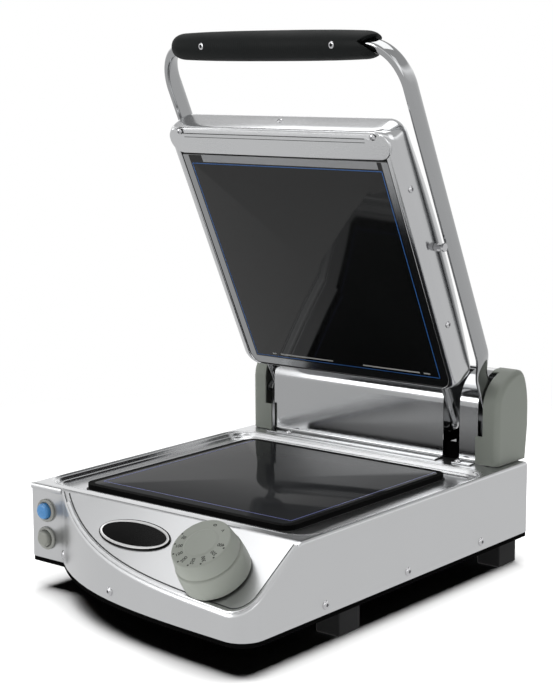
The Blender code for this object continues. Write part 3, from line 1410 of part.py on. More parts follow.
def make_connections(root, housing, plastic, black):
    """Gland in the rear wall and the terminal block behind it."""
    bore = GLAND_BORE
    ring = [
        (bore, GLAND_PROUD), (GLAND_RADIUS, GLAND_PROUD), (GLAND_RADIUS, FIT), (GLAND_BARREL, FIT),
        (GLAND_BARREL, -GLAND_DEPTH), (bore, -GLAND_DEPTH),
    ]
    place_of = (GLAND_X, DECK_DEPTH, WALL_LOW + GLAND_HEIGHT)
    facing = (-math.pi / 2, 0, 0)
    piece("cable_gland", turned(ring, ROUND_STEPS, closed=True), black, root, place_of, facing)
    hole = cylinder(GLAND_BARREL + FIT, -GLAND_DEPTH, OVERRUN)
    boolean(housing, cutter("gland_hole", hole, root, place_of, facing))
    low = (GLAND_X - TERMINAL_HALF, DECK_DEPTH - TERMINAL_BACK - TERMINAL_DEPTH, TRAY_TOP + FIT)
    high = (GLAND_X + TERMINAL_HALF, DECK_DEPTH - TERMINAL_BACK, TRAY_TOP + TERMINAL_HEIGHT)
    terminal = piece("terminal_block", block(low, high), plastic, root)
    bevel(terminal, CAP_EDGE, 1)


def build():
    """The whole grill."""
    clear_scene()
    steel = material("brushed_stainless", (0.74, 0.75, 0.76), 0.28, 1.0)
    bright = material("polished_stainless", (0.80, 0.80, 0.81), 0.16, 1.0)
    plastic = material("grey_green_plastic", (0.27, 0.29, 0.25), 0.5)
    black = material("black_plastic", (0.02, 0.02, 0.02), 0.5)
    dark = material("grip_plastic", (0.025, 0.028, 0.027), 0.55)
    lower = material("lower_glass", (0.035, 0.036, 0.038), 0.08)
    upper = material("lid_glass", (0.015, 0.016, 0.016), 0.06)
    rubber = material("black_rubber", (0.015, 0.015, 0.015), 0.7)
    wool = material("insulation_board", (0.72, 0.68, 0.58), 0.9)
    wire = material("heater_wire", (0.30, 0.28, 0.26), 0.5, 1.0)
    blue = material("blue_cap", (0.05, 0.26, 0.62), 0.35)
    grey = material("grey_cap", (0.22, 0.24, 0.21), 0.45)
    bronze = material("bronze", (0.55, 0.38, 0.18), 0.4, 1.0)
    chrome = material("chrome", (0.85, 0.85, 0.86), 0.1, 1.0)

    root = empty("grill_frame", None, (0, -MIDDLE_Y, 0))
    panel = empty("panel_frame", root, (0, 0, DECK_TOP), (PANEL_TILT, 0, 0))
    hinge = empty("hinge_line", root, (0, HINGE_Y, HINGE_Z))
    arm_axis = empty("arm_axis", hinge, (0, 0, 0), (math.pi - LID_OPEN, 0, 0))
    tilt_axis = empty("tilt_axis", arm_axis, (0, PIVOT_V - HINGE_V, PIVOT_N - HINGE_N))
    arms = {"parent": arm_axis, "location": (0, -HINGE_V, -HINGE_N)}
    lid = {"parent": tilt_axis, "location": (0, -PIVOT_V, -PIVOT_N)}

    housing, tray = make_base(root, steel, black)
    make_lower_plate(root, lower, rubber, steel, wool, wire)
    make_knob(root, panel, housing, plastic, steel, bronze)
    make_badge(panel, black, chrome)
    make_buttons(root, housing, tray, blue, grey, black)
    make_rear_cover(root, housing, steel)
    make_towers(root, plastic)
    make_hinges(root, hinge, arm_axis, steel, bronze, wire)
    handle = make_handle_frame(arms, bright)
    add_pivot_tabs(handle, arms)
    make_grip(arms, dark, bright)
    lid_housing = make_lid(lid, steel, upper, rubber, wool, wire)
    make_guide_tube(lid_housing, lid, bright, black)
    make_connections(root, housing, plastic, black)


build()
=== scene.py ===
"""Looks of a contact grill with an open lid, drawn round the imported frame. Metres, the frame's own axes.

Three sets of axes are used: the frame's own, the control panel's (x, w down the slope, h out of it)
and the lid's (x, v away from the hinge, n out of the glass). Each has a function that gives frame points.
"""
import json
import math

import bmesh
import bpy
import numpy as np
from mathutils import Matrix, Vector

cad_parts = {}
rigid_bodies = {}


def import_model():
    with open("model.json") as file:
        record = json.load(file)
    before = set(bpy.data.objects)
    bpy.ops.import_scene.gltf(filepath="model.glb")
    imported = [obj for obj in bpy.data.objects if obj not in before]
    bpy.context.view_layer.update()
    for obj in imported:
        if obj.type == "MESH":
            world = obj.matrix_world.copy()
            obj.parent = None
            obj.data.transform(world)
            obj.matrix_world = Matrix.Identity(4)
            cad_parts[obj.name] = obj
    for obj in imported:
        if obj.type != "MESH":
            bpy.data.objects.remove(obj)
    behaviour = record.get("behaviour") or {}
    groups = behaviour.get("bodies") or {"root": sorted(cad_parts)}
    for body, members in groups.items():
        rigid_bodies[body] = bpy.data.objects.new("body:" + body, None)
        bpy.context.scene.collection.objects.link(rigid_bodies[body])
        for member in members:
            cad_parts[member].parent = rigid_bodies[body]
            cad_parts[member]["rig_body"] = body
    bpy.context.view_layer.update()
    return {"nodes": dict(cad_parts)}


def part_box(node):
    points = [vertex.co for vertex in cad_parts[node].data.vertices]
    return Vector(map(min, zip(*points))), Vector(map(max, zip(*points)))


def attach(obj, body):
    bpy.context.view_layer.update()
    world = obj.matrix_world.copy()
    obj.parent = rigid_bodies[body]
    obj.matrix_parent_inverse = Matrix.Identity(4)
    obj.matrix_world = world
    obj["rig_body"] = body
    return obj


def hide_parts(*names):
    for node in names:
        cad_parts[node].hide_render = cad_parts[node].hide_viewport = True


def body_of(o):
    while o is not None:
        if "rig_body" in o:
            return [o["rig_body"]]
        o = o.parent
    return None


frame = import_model()
NODES = frame["nodes"]

MM = 0.001
TURN = 2 * math.pi
SUNK = 0.1 * MM  # how far lines and prints reach under their surface

# Where the CAD has its planes and axes
CREST = -0.14778317876  # y of the fold between deck and control panel
DECK_TOP = 0.105
WALL_LOW = 0.033
SIDE = 0.1655
FRONT_CORNER = 0.022
COLUMN_X = -0.1225
PANEL_TILT = math.radians(33.5)
PANEL_COS, PANEL_SIN = math.cos(PANEL_TILT), math.sin(PANEL_TILT)
LID_OPEN = math.radians(64.155)
LID_TURN = math.pi - LID_OPEN
LID_COS, LID_SIN = math.cos(LID_TURN), math.sin(LID_TURN)
HINGE_Y, HINGE_Z = 0.3494 + CREST, 0.147
HINGE_V, HINGE_N = -0.074, -0.040
GLASS_TOP = 0.104


def on_panel(x, w, h):
    """Frame points of panel points: x stays, w runs down the slope from the crest, h stands out of it."""
    x, w, h = np.broadcast_arrays(x, w, h)
    return np.stack([x, CREST - w * PANEL_COS - h * PANEL_SIN, DECK_TOP - w * PANEL_SIN + h * PANEL_COS], -1)


def on_lid(x, v, n):
    """Frame points of lid points: v and n are counted from the hinge and turned by the open angle."""
    x, v, n = np.broadcast_arrays(x, v, n)
    out, up = v - HINGE_V, n - HINGE_N
    return np.stack([x, HINGE_Y + out * LID_COS - up * LID_SIN, HINGE_Z + out * LID_SIN + up * LID_COS], -1)


def in_frame(x, y, z):
    """Frame points as they are."""
    return np.stack(np.broadcast_arrays(x, y, z), -1)


# ---------------------------------------------------------------- finishes

# Shares of the fine grain and of the slow clouding in a finish
FINE_SHARE, SLOW_SHARE = 0.6, 0.4


def noise_on(nodes, links, coordinates, scale, stretch=(1, 1, 1), detail=4.0):
    """Noise read on object coordinates that are first stretched per axis; gives its factor socket."""
    mapping = nodes.new("ShaderNodeMapping")
    mapping.inputs["Scale"].default_value = stretch
    links.new(coordinates, mapping.inputs["Vector"])
    noise = nodes.new("ShaderNodeTexNoise")
    noise.inputs["Scale"].default_value = scale
    noise.inputs["Detail"].default_value = detail
    links.new(mapping.outputs["Vector"], noise.inputs["Vector"])
    return noise.outputs["Fac"]


def ranged(nodes, links, factor, low, high, start=0.3, end=0.7):
    """A factor between start and end, spread from low to high."""
    spread = nodes.new("ShaderNodeMapRange")
    spread.inputs["From Min"].default_value = start
    spread.inputs["From Max"].default_value = end
    spread.inputs["To Min"].default_value = low
    spread.inputs["To Max"].default_value = high
    links.new(factor, spread.inputs["Value"])
    return spread.outputs["Result"]


def finish(name, colour, rough, metal=0.0, grain=900.0, stretch=(1, 1, 1), shade=0.12, rough_spread=0.08,
           bump=0.0, depth=0.0001, cloud=14.0, coat=0.0):
    """A material whose shade, gloss and relief follow a fine grain, with slow clouding over the whole surface."""
    material = bpy.data.materials.new(name)
    material.use_nodes = True
    nodes, links = material.node_tree.nodes, material.node_tree.links
    skin = nodes["Principled BSDF"]
    skin.inputs["Metallic"].default_value = metal
    skin.inputs["Coat Weight"].default_value = coat
    coordinates = nodes.new("ShaderNodeTexCoord").outputs["Object"]
    fine = noise_on(nodes, links, coordinates, grain, stretch)
    slow = noise_on(nodes, links, coordinates, cloud, detail=2.0)
    mix = nodes.new("ShaderNodeMix")
    mix.data_type = "RGBA"
    mix.inputs["A"].default_value = (*[c * (1 - shade) for c in colour], 1)
    mix.inputs["B"].default_value = (*[min(c * (1 + shade), 1.0) for c in colour], 1)
    both = nodes.new("ShaderNodeMath")
    both.operation = "MULTIPLY_ADD"
    links.new(fine, both.inputs[0])
    both.inputs[1].default_value = FINE_SHARE
    links.new(ranged(nodes, links, slow, 0.0, SLOW_SHARE), both.inputs[2])
    links.new(both.outputs[0], mix.inputs["Factor"])
    links.new(mix.outputs["Result"], skin.inputs["Base Color"])
    gloss = ranged(nodes, links, both.outputs[0], rough - rough_spread, rough + rough_spread)
    links.new(gloss, skin.inputs["Roughness"])
    if bump:
        relief = nodes.new("ShaderNodeBump")
        relief.inputs["Strength"].default_value = bump
        relief.inputs["Distance"].default_value = depth
        links.new(fine, relief.inputs["Height"])
        links.new(relief.outputs["Normal"], skin.inputs["Normal"])
    return material


def dull(material, level=0.2):
    """The same material with weak mirror gloss."""
    material.node_tree.nodes["Principled BSDF"].inputs["Specular IOR Level"].default_value = level
    return material


def thin(material, index):
    """The same material with a lower refractive index, for glass whose coating keeps reflections faint."""
    material.node_tree.nodes["Principled BSDF"].inputs["IOR"].default_value = index
    return material


def brushed(name, colour, rough, stretch, grain=800.0, shade=0.03, rough_spread=0.02, bump=0.02, depth=0.000005):
    """Bare metal whose grain is drawn out along the axis with the small stretch."""
    return finish(name, colour, rough, 1.0, grain, stretch, shade, rough_spread, bump, depth)


STEEL = (0.50, 0.505, 0.512)
UPRIGHT, SIDEWAYS = (3, 3, 0.04), (0.04, 3, 3)
SATIN = brushed("satin stainless", STEEL, 0.30, UPRIGHT, shade=0.02, rough_spread=0.015)
COVER_STEEL = brushed("cover stainless", (0.34, 0.345, 0.35), 0.12, UPRIGHT)
LID_SATIN = brushed("lid stainless", (0.47, 0.475, 0.482), 0.17, SIDEWAYS)
BAR_STEEL = brushed("bar stainless", STEEL, 0.28, SIDEWAYS)
POLISHED = brushed("polished tube", (0.32, 0.325, 0.33), 0.10, (6, 0.3, 0.3), 220.0, 0.04, 0.03, 0.03, 0.00002)
BASIN_STEEL = brushed("basin stainless", STEEL, 0.22, (0.3, 3, 3), 300.0, 0.04, 0.03, 0.03, 0.00001)
BRIGHT = finish("bright chrome", (0.45, 0.45, 0.46), 0.08, 1.0, 700.0, shade=0.04, rough_spread=0.04)
RIM_GREY = finish("badge rim", (0.50, 0.50, 0.50), 0.30, 1.0, 700.0, shade=0.04, rough_spread=0.04)
EDGE_GREY = finish("glass border", (0.26, 0.265, 0.27), 0.16, 1.0, shade=0.05, rough_spread=0.03)
ZINC = finish("zinc plate", (0.50, 0.51, 0.52), 0.38, 1.0, 500.0, shade=0.08, bump=0.1)
ROD_BROWN = finish("oxidised rod", (0.20, 0.18, 0.17), 0.55, 1.0, 500.0, shade=0.2, bump=0.2)
BRONZE = finish("bronze", (0.50, 0.33, 0.16), 0.35, 1.0, 600.0, shade=0.1, bump=0.1)

GREY_GREEN = dull(finish("grey green moulding", (0.215, 0.232, 0.205), 0.50, grain=1500.0, shade=0.05, bump=0.20,
                         depth=0.00006), 0.3)
KNOB_PLASTIC = dull(finish("knob moulding", (0.275, 0.292, 0.260), 0.46, grain=1500.0, shade=0.04, bump=0.15,
                           depth=0.00005), 0.3)
BEZEL_GREY = finish("bezel moulding", (0.25, 0.255, 0.235), 0.50, grain=1200.0, shade=0.05, bump=0.15, depth=0.00005)
GRIP = dull(finish("grip moulding", (0.0075, 0.0085, 0.0085), 0.55, grain=1400.0, shade=0.15, bump=0.2,
                   depth=0.00005), 0.08)
BLACK = dull(finish("black moulding", (0.003, 0.003, 0.003), 0.60, grain=1200.0, shade=0.15, bump=0.2,
                    depth=0.00008), 0.0)
FOOT = dull(finish("foot rubber", (0.010, 0.010, 0.0105), 0.60, shade=0.2, bump=0.3), 0.12)
RUBBER = finish("seal rubber", (0.012, 0.012, 0.012), 0.70, shade=0.2, bump=0.3)
BOARD = finish("fibre board", (0.62, 0.58, 0.50), 0.90, grain=350.0, shade=0.2, bump=0.6, depth=0.0003)
BLUE = finish("blue cap", (0.035, 0.20, 0.46), 0.25, shade=0.08, bump=0.05, coat=0.3)
CAP_GREY = finish("grey cap", (0.225, 0.23, 0.205), 0.38, shade=0.06, bump=0.1)
BADGE = dull(finish("badge black", (0.002, 0.002, 0.002), 0.22, shade=0.1, bump=0.02), 0.05)

GLASS_LOW = thin(finish("lower glass", (0.032, 0.033, 0.035), 0.06, grain=2600.0, shade=0.25,
                        rough_spread=0.015), 1.045)
GLASS_LID = thin(finish("lid glass", (0.004, 0.0043, 0.0043), 0.05, grain=2600.0, shade=0.25,
                        rough_spread=0.015), 1.36)
BAND_BLACK = dull(finish("black glass band", (0.001, 0.001, 0.001), 0.80, shade=0.2, rough_spread=0.05), 0.05)
STRIP_GREY = finish("grey glass strip", (0.20, 0.205, 0.21), 0.15, grain=1500.0, shade=0.10)
# Painted shade: dark strips that stand in for the shade in grooves, at folds and along steps
PAINTED_GROOVE_SHADE = dull(finish("groove shade", (0.045, 0.047, 0.047), 0.70, grain=600.0, shade=0.2))
PAINTED_CREASE_SHADE = dull(finish("fold shade", (0.16, 0.165, 0.165), 0.60, grain=600.0, shade=0.15))
PRINT_DARK = dull(finish("dark print", (0.030, 0.031, 0.028), 0.60, grain=1500.0, shade=0.2))
PRINT_GREY = dull(finish("grey print", (0.16, 0.165, 0.15), 0.60, grain=1500.0, shade=0.1))
LINE_LOW = dull(finish("lower field print", (0.11, 0.13, 0.36), 0.45, grain=1500.0))
LINE_LID = dull(finish("lid field print", (0.020, 0.085, 0.26), 0.40, grain=1500.0))
DASH_PALE = dull(finish("pale print", (0.36, 0.36, 0.35), 0.50, grain=1500.0, shade=0.08))

WEARS = {
    SATIN: ["base_housing", "rear_cover"],
    LID_SATIN: ["lid_housing", "front_bar"],
    POLISHED: ["handle_frame", "cable_guide_tube"],
    BEZEL_GREY: ["power_bezel", "start_bezel"],
    BRIGHT: ["badge_ring", "grip_screw_left", "grip_screw_right",
             "rear_cover_screw_left", "rear_cover_screw_right", "pivot_bolt_left", "pivot_bolt_right"],
    ZINC: ["hinge_bracket_left", "hinge_bracket_right", "hinge_axle_left", "hinge_axle_right", "circlip_left",
           "circlip_right", "torsion_spring_left", "torsion_spring_right", "knob_shaft", "thermostat_nut",
           "pivot_nut_left", "pivot_nut_right", "lower_heater_pan", "lid_heater_pan"],
    GREY_GREEN: ["tower_cover_left", "tower_cover_right", "knob"],
    GRIP: ["grip_front", "grip_rear"],
    BLACK: ["bottom_tray", "foot_front_left", "foot_front_right", "foot_rear_left", "foot_rear_right",
            "power_switch", "start_switch", "cable_gland", "terminal_block", "tube_saddle"],
    BADGE: ["badge_plate"],
    GLASS_LOW: ["lower_glass"],
    GLASS_LID: ["lid_glass"],
    RUBBER: ["lower_glass_seal", "bar_gasket_left", "bar_gasket_right"],
    BOARD: ["lower_insulation", "lid_insulation"],
    ROD_BROWN: ["lower_element", "lid_element"],
    BLUE: ["power_button"],
    CAP_GREY: ["start_button"],
    BRONZE: ["hinge_bush_left", "hinge_bush_right", "thermostat_body"],
}
for material, names in WEARS.items():
    for name in names:
        NODES[name].data.materials.clear()
        NODES[name].data.materials.append(material)


# ---------------------------------------------------------------- making pieces

# Distance under which corners merge, angle under which faces are level, angle over which edges are rounded
WELD, LEVEL, ROUND_OVER = 0.002 * MM, math.radians(0.3), math.radians(42)
# Screw heads: lean up to which the dome goes, then the socket's top, lip, rim and cone as shares, and its edge
HEAD_LEAN, SOCKET_TOP, SOCKET_LIP, SOCKET_RIM, SOCKET_CONE, SOCKET_EDGE = 1.15, 0.97, 1.2, 1.12, 1.15, 0.08 * MM


def quads(rows, columns, close_rows, close_columns, first):
    """Corner numbers of the quads between neighbouring rows and columns, a closed way wrapping round."""
    row, column = np.meshgrid(np.arange(rows if close_rows else rows - 1),
                              np.arange(columns if close_columns else columns - 1), indexing="ij")
    below, beside = (row + 1) % rows, (column + 1) % columns
    corners = [row * columns + column, row * columns + beside, below * columns + beside, below * columns + column]
    return np.stack(corners, -1).reshape(-1, 4) + first


def dress(piece, material, body, stands_for=()):
    """Gives a piece its finish, its body and the nodes that it stands for."""
    bpy.context.scene.collection.objects.link(piece)
    piece.data.materials.clear()
    piece.data.materials.append(material)
    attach(piece, body)
    if stands_for:
        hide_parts(*stands_for)
    return piece


def clean(mesh, angle, flat=False):
    """Merges doubles and marks edges sharper than angle; flat joins level faces, otherwise faces are turned outwards.
    """
    bm = bmesh.new()
    bm.from_mesh(mesh)
    bmesh.ops.remove_doubles(bm, verts=bm.verts, dist=WELD)
    if flat:
        bmesh.ops.dissolve_limit(bm, angle_limit=LEVEL, verts=bm.verts, edges=bm.edges)
    else:
        bmesh.ops.recalc_face_normals(bm, faces=bm.faces)
    for face in bm.faces:
        face.smooth = True
    bm.to_mesh(mesh)
    bm.free()
    mesh.set_sharp_from_angle(angle=math.radians(angle))


def shell(name, grids, material, body, stands_for=(), angle=40):
    """One piece from grids of points, each with whether its rows and its columns close."""
    points, faces, first = [], [], 0
    for grid, close_rows, close_columns in grids:
        rows, columns = grid.shape[:2]
        points.append(grid.reshape(-1, 3))
        faces.append(quads(rows, columns, close_rows, close_columns, first))
        first += rows * columns
    mesh = bpy.data.meshes.new(name)
    mesh.from_pydata(np.concatenate(points).tolist(), [], np.concatenate(faces).tolist())
    clean(mesh, angle)
    return dress(bpy.data.objects.new(name, mesh), material, body, stands_for)


def smoothed(node, name, material, edge=0.0, angle=30):
    """A merged copy of a node with soft edges and shading weighted by its larger faces; it stands for the node."""
    mesh = NODES[node].data.copy()
    clean(mesh, angle, flat=True)
    piece = dress(bpy.data.objects.new(name, mesh), material, body_of(NODES[node])[0], (node,))
    if edge:
        rounding = piece.modifiers.new("edges", "BEVEL")
        rounding.width = edge
        rounding.segments = 2
        rounding.limit_method = "ANGLE"
        rounding.angle_limit = ROUND_OVER
        rounding.harden_normals = True
    weigh = piece.modifiers.new("shading", "WEIGHTED_NORMAL")
    weigh.keep_sharp = not edge
    return piece


def spun(profile, steps=96):
    """Local x, y, z grids of a profile of (radius, height) turned once round z."""
    radius, height = np.array(profile).T
    angle = np.arange(steps) * TURN / steps
    x = radius[:, None] * np.cos(angle)
    y = radius[:, None] * np.sin(angle)
    return x, y, np.repeat(height[:, None], steps, 1)


def rounded(half_x, low, high, radius, per_corner=10, per_side=0):
    """Plan of a rectangle with round corners, anticlockwise, as (points, 2), with points along the sides too."""
    angle = np.linspace(0, math.pi / 2, per_corner)
    corners = []
    for quarter, (sx, y) in enumerate(((1, high), (-1, high), (-1, low), (1, low))):
        centre = np.array([sx * (half_x - radius), y - radius if y == high else y + radius])
        turn = angle + quarter * math.pi / 2
        corners.append(centre + radius * np.stack([np.cos(turn), np.sin(turn)], -1))
    share = np.linspace(0, 1, per_side + 2)[1:-1, None]
    sides = [a[-1] * (1 - share) + b[0] * share for a, b in zip(corners, corners[1:] + corners[:1])]
    return np.concatenate([part for pair in zip(corners, sides) for part in pair])


def at_height(plan, height):
    """A plan's points with their height beside them."""
    return np.concatenate([plan, np.full((len(plan), 1), height)], 1)


def band(outer, inner, low, high, place):
    """A flat closed band between two plans of equal count, from low to high, as one grid closed both ways."""
    plans = np.stack([outer, outer, inner, inner])
    heights = np.array([low, high, high, low])[:, None]
    return place(plans[..., 0], plans[..., 1], np.broadcast_to(heights, plans.shape[:2])), True, True


def carried(x0, x1, ring_y, ring_h, place):
    """A section of points in y and height carried from x0 to x1, both ends closed by rings collapsed to its middle."""
    x = np.array([x0, x0, x1, x1])[:, None]
    share = np.array([0, 1, 1, 0])[:, None]
    y = ring_y.mean() * (1 - share) + ring_y * share
    h = ring_h.mean() * (1 - share) + ring_h * share
    return place(x, y, h), False, True


def bar_block(x0, x1, y0, y1, low, high, place):
    """A small plate from corner to corner."""
    return carried(x0, x1, np.array([y0, y1, y1, y0]), np.array([low, low, high, high]), place)


def socket_head(radius, height, key, place, steps=48, sunk=0.3 * MM):
    """A domed screw head: nearly a quarter round up to the key's rim, then a six sided socket down into it.

    Round rings come first; from the socket's rim on, the radius is the hexagon's, key / cos of the angle
    from the middle of each side.
    """
    angle = np.arange(steps) * TURN / steps
    side = (angle + math.pi / 6) % (math.pi / 3) - math.pi / 6
    six = key / np.cos(side)
    lean = np.linspace(0, HEAD_LEAN, 9)
    rise = [(radius * np.cos(a) * np.ones(steps), height * math.sin(a)) for a in lean]
    top = height * SOCKET_TOP
    rows = [(radius * np.ones(steps), -sunk)] + rise
    rows += [(six * SOCKET_RIM, top), (six, top - SOCKET_EDGE), (six, top - key), (six * 0, top - key * SOCKET_CONE)]
    rows[len(rise)] = (np.maximum(rise[-1][0], six * SOCKET_LIP), rise[-1][1])
    r = np.stack([row[0] for row in rows])
    z = np.array([row[1] for row in rows])[:, None] * np.ones(steps)
    return place(r * np.cos(angle), r * np.sin(angle), z), False, True


def seat(origin, out, place=in_frame, across=(0, 0, 1)):
    """A place function for small turned parts: local z points along out, local y roughly along across."""
    z = np.array(out, float) / np.linalg.norm(out)
    x = np.cross(across, z)
    x /= np.linalg.norm(x)
    y = np.cross(z, x)
    origin = np.array(origin, float)

    def put(a, b, c):
        local = origin + np.multiply.outer(a, x) + np.multiply.outer(b, y) + np.multiply.outer(c, z)
        return place(local[..., 0], local[..., 1], local[..., 2])
    return put


# ---------------------------------------------------------------- base

FRONT_BOW, FRONT_SKEW, BOW_POWER = 0.0555, 0.018, 3.4


def front_y(x):
    """Depth of the front wall from the crest at x, as in the part: a bow to a power plus a skew, 0 at the right."""
    right = SIDE - FRONT_CORNER
    share = np.clip((right - x) / (right - COLUMN_X), 0, 1)
    return -FRONT_BOW * (1 - share ** BOW_POWER) - FRONT_SKEW * (1 - share)


def panel_edge(inset, count=140):
    """The panel's front and right edge drawn in by inset, as x and w down the slope.

    The front wall's curve, a quarter round corner and the side wall are joined, then moved along the
    left hand normal of their run.
    """
    right = SIDE - FRONT_CORNER
    x = np.linspace(COLUMN_X, right, count)
    y = front_y(x)
    turn = np.linspace(-math.pi / 2, 0, 24)[1:]
    corner_x = right + FRONT_CORNER * np.cos(turn)
    corner_y = y[-1] + FRONT_CORNER * (1 + np.sin(turn))
    side_y = np.linspace(corner_y[-1], -1 * MM, 20)[1:]
    x = np.concatenate([x, corner_x, np.full(side_y.shape, SIDE)])
    y = np.concatenate([y, corner_y, side_y])
    run_x, run_y = np.gradient(x), np.gradient(y)
    length = np.hypot(run_x, run_y)
    x, y = x - inset * run_y / length, y + inset * run_x / length
    return x, -y / PANEL_COS


def panel_line(name, material, inset, width, height):
    """A thin line along the panel's edge: four corners of a small section carried along the drawn in edge."""
    rows = []
    for across, h in ((0, -SUNK), (0, height), (width, height), (width, -SUNK)):
        x, w = panel_edge(inset + across)
        keep = (w > 1.2 * MM) & (x > COLUMN_X + 0.8 * MM)
        rows.append((x, w, keep, h))
    keep = np.all([row[2] for row in rows], 0)
    grid = np.stack([on_panel(x[keep], w[keep], h) for x, w, _, h in rows], 1)
    return shell(name, [(grid, False, True)], material, "base")


smoothed("base_housing", "housing_sheet", SATIN, edge=0.35 * MM)
smoothed("rear_cover", "rear_cover_sheet", COVER_STEEL, edge=0.25 * MM)
smoothed("tower_cover_left", "tower_shell_left", GREY_GREEN, edge=1.0 * MM)
smoothed("tower_cover_right", "tower_shell_right", GREY_GREEN, edge=1.0 * MM)
smoothed("bottom_tray", "tray_shell", BLACK, edge=0.3 * MM)
for corner in ("front_left", "front_right", "rear_left", "rear_right"):
    smoothed("foot_" + corner, "foot_block_" + corner, FOOT, edge=0.5 * MM)
smoothed("cable_guide_tube", "guide_tube_bright", POLISHED)

# Painted shade: thin dark strips along the bead's edges stand in for the shade in its grooves
panel_line("bead_groove_shade_inner", PAINTED_GROOVE_SHADE, inset=5.2 * MM, width=1.1 * MM, height=0.06 * MM)
panel_line("bead_groove_shade_outer", PAINTED_CREASE_SHADE, inset=1.3 * MM, width=0.45 * MM, height=0.5 * MM)

# Painted shade at the fold between deck and panel: a fine dark strip, a small section of (w, height) carried from the
# column to the right
FOLD_LEFT, FOLD_RIGHT = COLUMN_X + 1.5 * MM, 0.098
fold_x = np.linspace(FOLD_LEFT, FOLD_RIGHT, 30)
section = ((-0.5, 0.0), (-0.5, 0.10), (0.1, 0.12), (0.1, 0.0))
fold = np.stack([on_panel(fold_x, w * MM, h * MM) for w, h in section], 1)
shell("crest_crease_shade", [(fold, False, True)], PAINTED_CREASE_SHADE, "base")

# The same painted fold shade on top of the column, left of the panel
column_shade_strip = bar_block(-SIDE + 1.2 * MM, COLUMN_X - 0.4 * MM, CREST - 0.15 * MM, CREST + 0.4 * MM,
                        DECK_TOP - 0.6 * MM, DECK_TOP - 0.1 * MM, in_frame)
shell("column_crease_shade", [column_shade_strip], PAINTED_CREASE_SHADE, "base")

# Fold at the column's top: a low swelling, depth * sin(pi * share of its height), closed behind and at the ends
FOLD_DEEP, FOLD_BEHIND = 0.7 * MM, 0.3 * MM
FOLD_FOOT, FOLD_HEAD = DECK_TOP - 6 * MM, DECK_TOP - 0.7 * MM
rise = np.linspace(0, 1, 10)
fold_y = np.concatenate([CREST - FOLD_DEEP * np.sin(math.pi * rise), [CREST + FOLD_BEHIND] * 2])
fold_z = np.concatenate([FOLD_FOOT + (FOLD_HEAD - FOLD_FOOT) * rise, [FOLD_HEAD, FOLD_FOOT]])
shell("column_fold", [carried(-SIDE + 1.5 * MM, COLUMN_X - 1.0 * MM, fold_y, fold_z, in_frame)], SATIN,
      "base")

# Basin: a polished bead of two steps follows the CAD's slope; rows are (inset, height over the deck's top)
BASIN_HALF, BASIN_LOW, BASIN_HIGH, BASIN_CORNER = SIDE - 3.5 * MM, CREST + 0.011, CREST + 0.3045, 0.027
steps = np.array([(-0.6, -0.3), (-0.6, 0.16), (0.2, 0.28), (0.9, -0.1), (1.5, -1.1), (1.9, -1.3), (3.0, -1.2),
                  (3.6, -1.5), (4.3, -3.9), (4.8, -4.3), (6.4, -4.3), (7.1, -4.7), (7.8, -6.6), (8.6, -7.2),
                  (10.0, -7.45), (10.0, -8.0)]) * MM
rings = []
for inset, height in steps:
    plan = rounded(BASIN_HALF - inset, BASIN_LOW + inset, BASIN_HIGH - inset, BASIN_CORNER - inset, 24)
    rings.append(at_height(plan, DECK_TOP + height))
shell("basin_bead", [(np.stack(rings), True, True)], BASIN_STEEL, "base", angle=60)

# Lower glass: a plate with softened edges, a matt black band round it and the heated field's printed line
LOW_HALF, LOW_FRONT, LOW_BACK, LOW_CORNER = 0.126, 0.0305 + CREST, 0.282 + CREST, 0.014
LOW_THICK, LOW_ROUND = 5 * MM, 0.8 * MM
FIELD_HALF, FIELD_FRONT, FIELD_BACK = 0.1156, 0.048 + CREST, 0.277 + CREST
BAND, LINE_CORNER, LINE_CORNER_IN = 6.2 * MM, 0.6 * MM, 0.4 * MM


def low_plan(inset):
    """Plan of the lower glass drawn in by inset."""
    return rounded(LOW_HALF - inset, LOW_FRONT + inset, LOW_BACK - inset, max(LOW_CORNER - inset, 1 * MM))


def glass_pane(name, plan, low, high, round_edge, place, material, body, stands_for):
    """A pane whose sections are plans drawn in by a quarter round at the top edge, closed above and below."""
    rows = [(low, 0.0)]
    rows += [(high - round_edge * (1 - math.sin(a)), round_edge * (1 - math.cos(a)))
             for a in np.linspace(0, math.pi / 2, 6)]
    rings = [at_height(plan(inset), h) for h, inset in rows]
    flat = rings[-1].copy()
    flat[:, :2] = flat[:, :2].mean(0)
    under = rings[0].copy()
    under[:, :2] = under[:, :2].mean(0)
    grid = np.stack([under] + rings + [flat])
    points = place(grid[..., 0], grid[..., 1], grid[..., 2])
    return shell(name, [(points, False, True)], material, body, stands_for, angle=25)


def field_line(half, low, high, width, top, place):
    """The line printed round a heated field, drawn inwards from the field's rectangle, on a glass whose face is top."""
    outer = rounded(half, low, high, LINE_CORNER, 4)
    inner = rounded(half - width, low + width, high - width, LINE_CORNER_IN, 4)
    return band(outer, inner, top - SUNK, top + 0.04 * MM, place)


glass_pane("lower_glass_pane", low_plan, GLASS_TOP - LOW_THICK, GLASS_TOP, LOW_ROUND, in_frame, GLASS_LOW,
           "base", ("lower_glass",))
black_band = band(low_plan(-0.2 * MM), low_plan(BAND), GLASS_TOP - 4.6 * MM, GLASS_TOP + 0.06 * MM, in_frame)
shell("lower_glass_band", [black_band], BAND_BLACK, "base")
shell("lower_field_line", [field_line(FIELD_HALF, FIELD_FRONT, FIELD_BACK, 1.1 * MM, GLASS_TOP, in_frame)],
      LINE_LOW, "base")

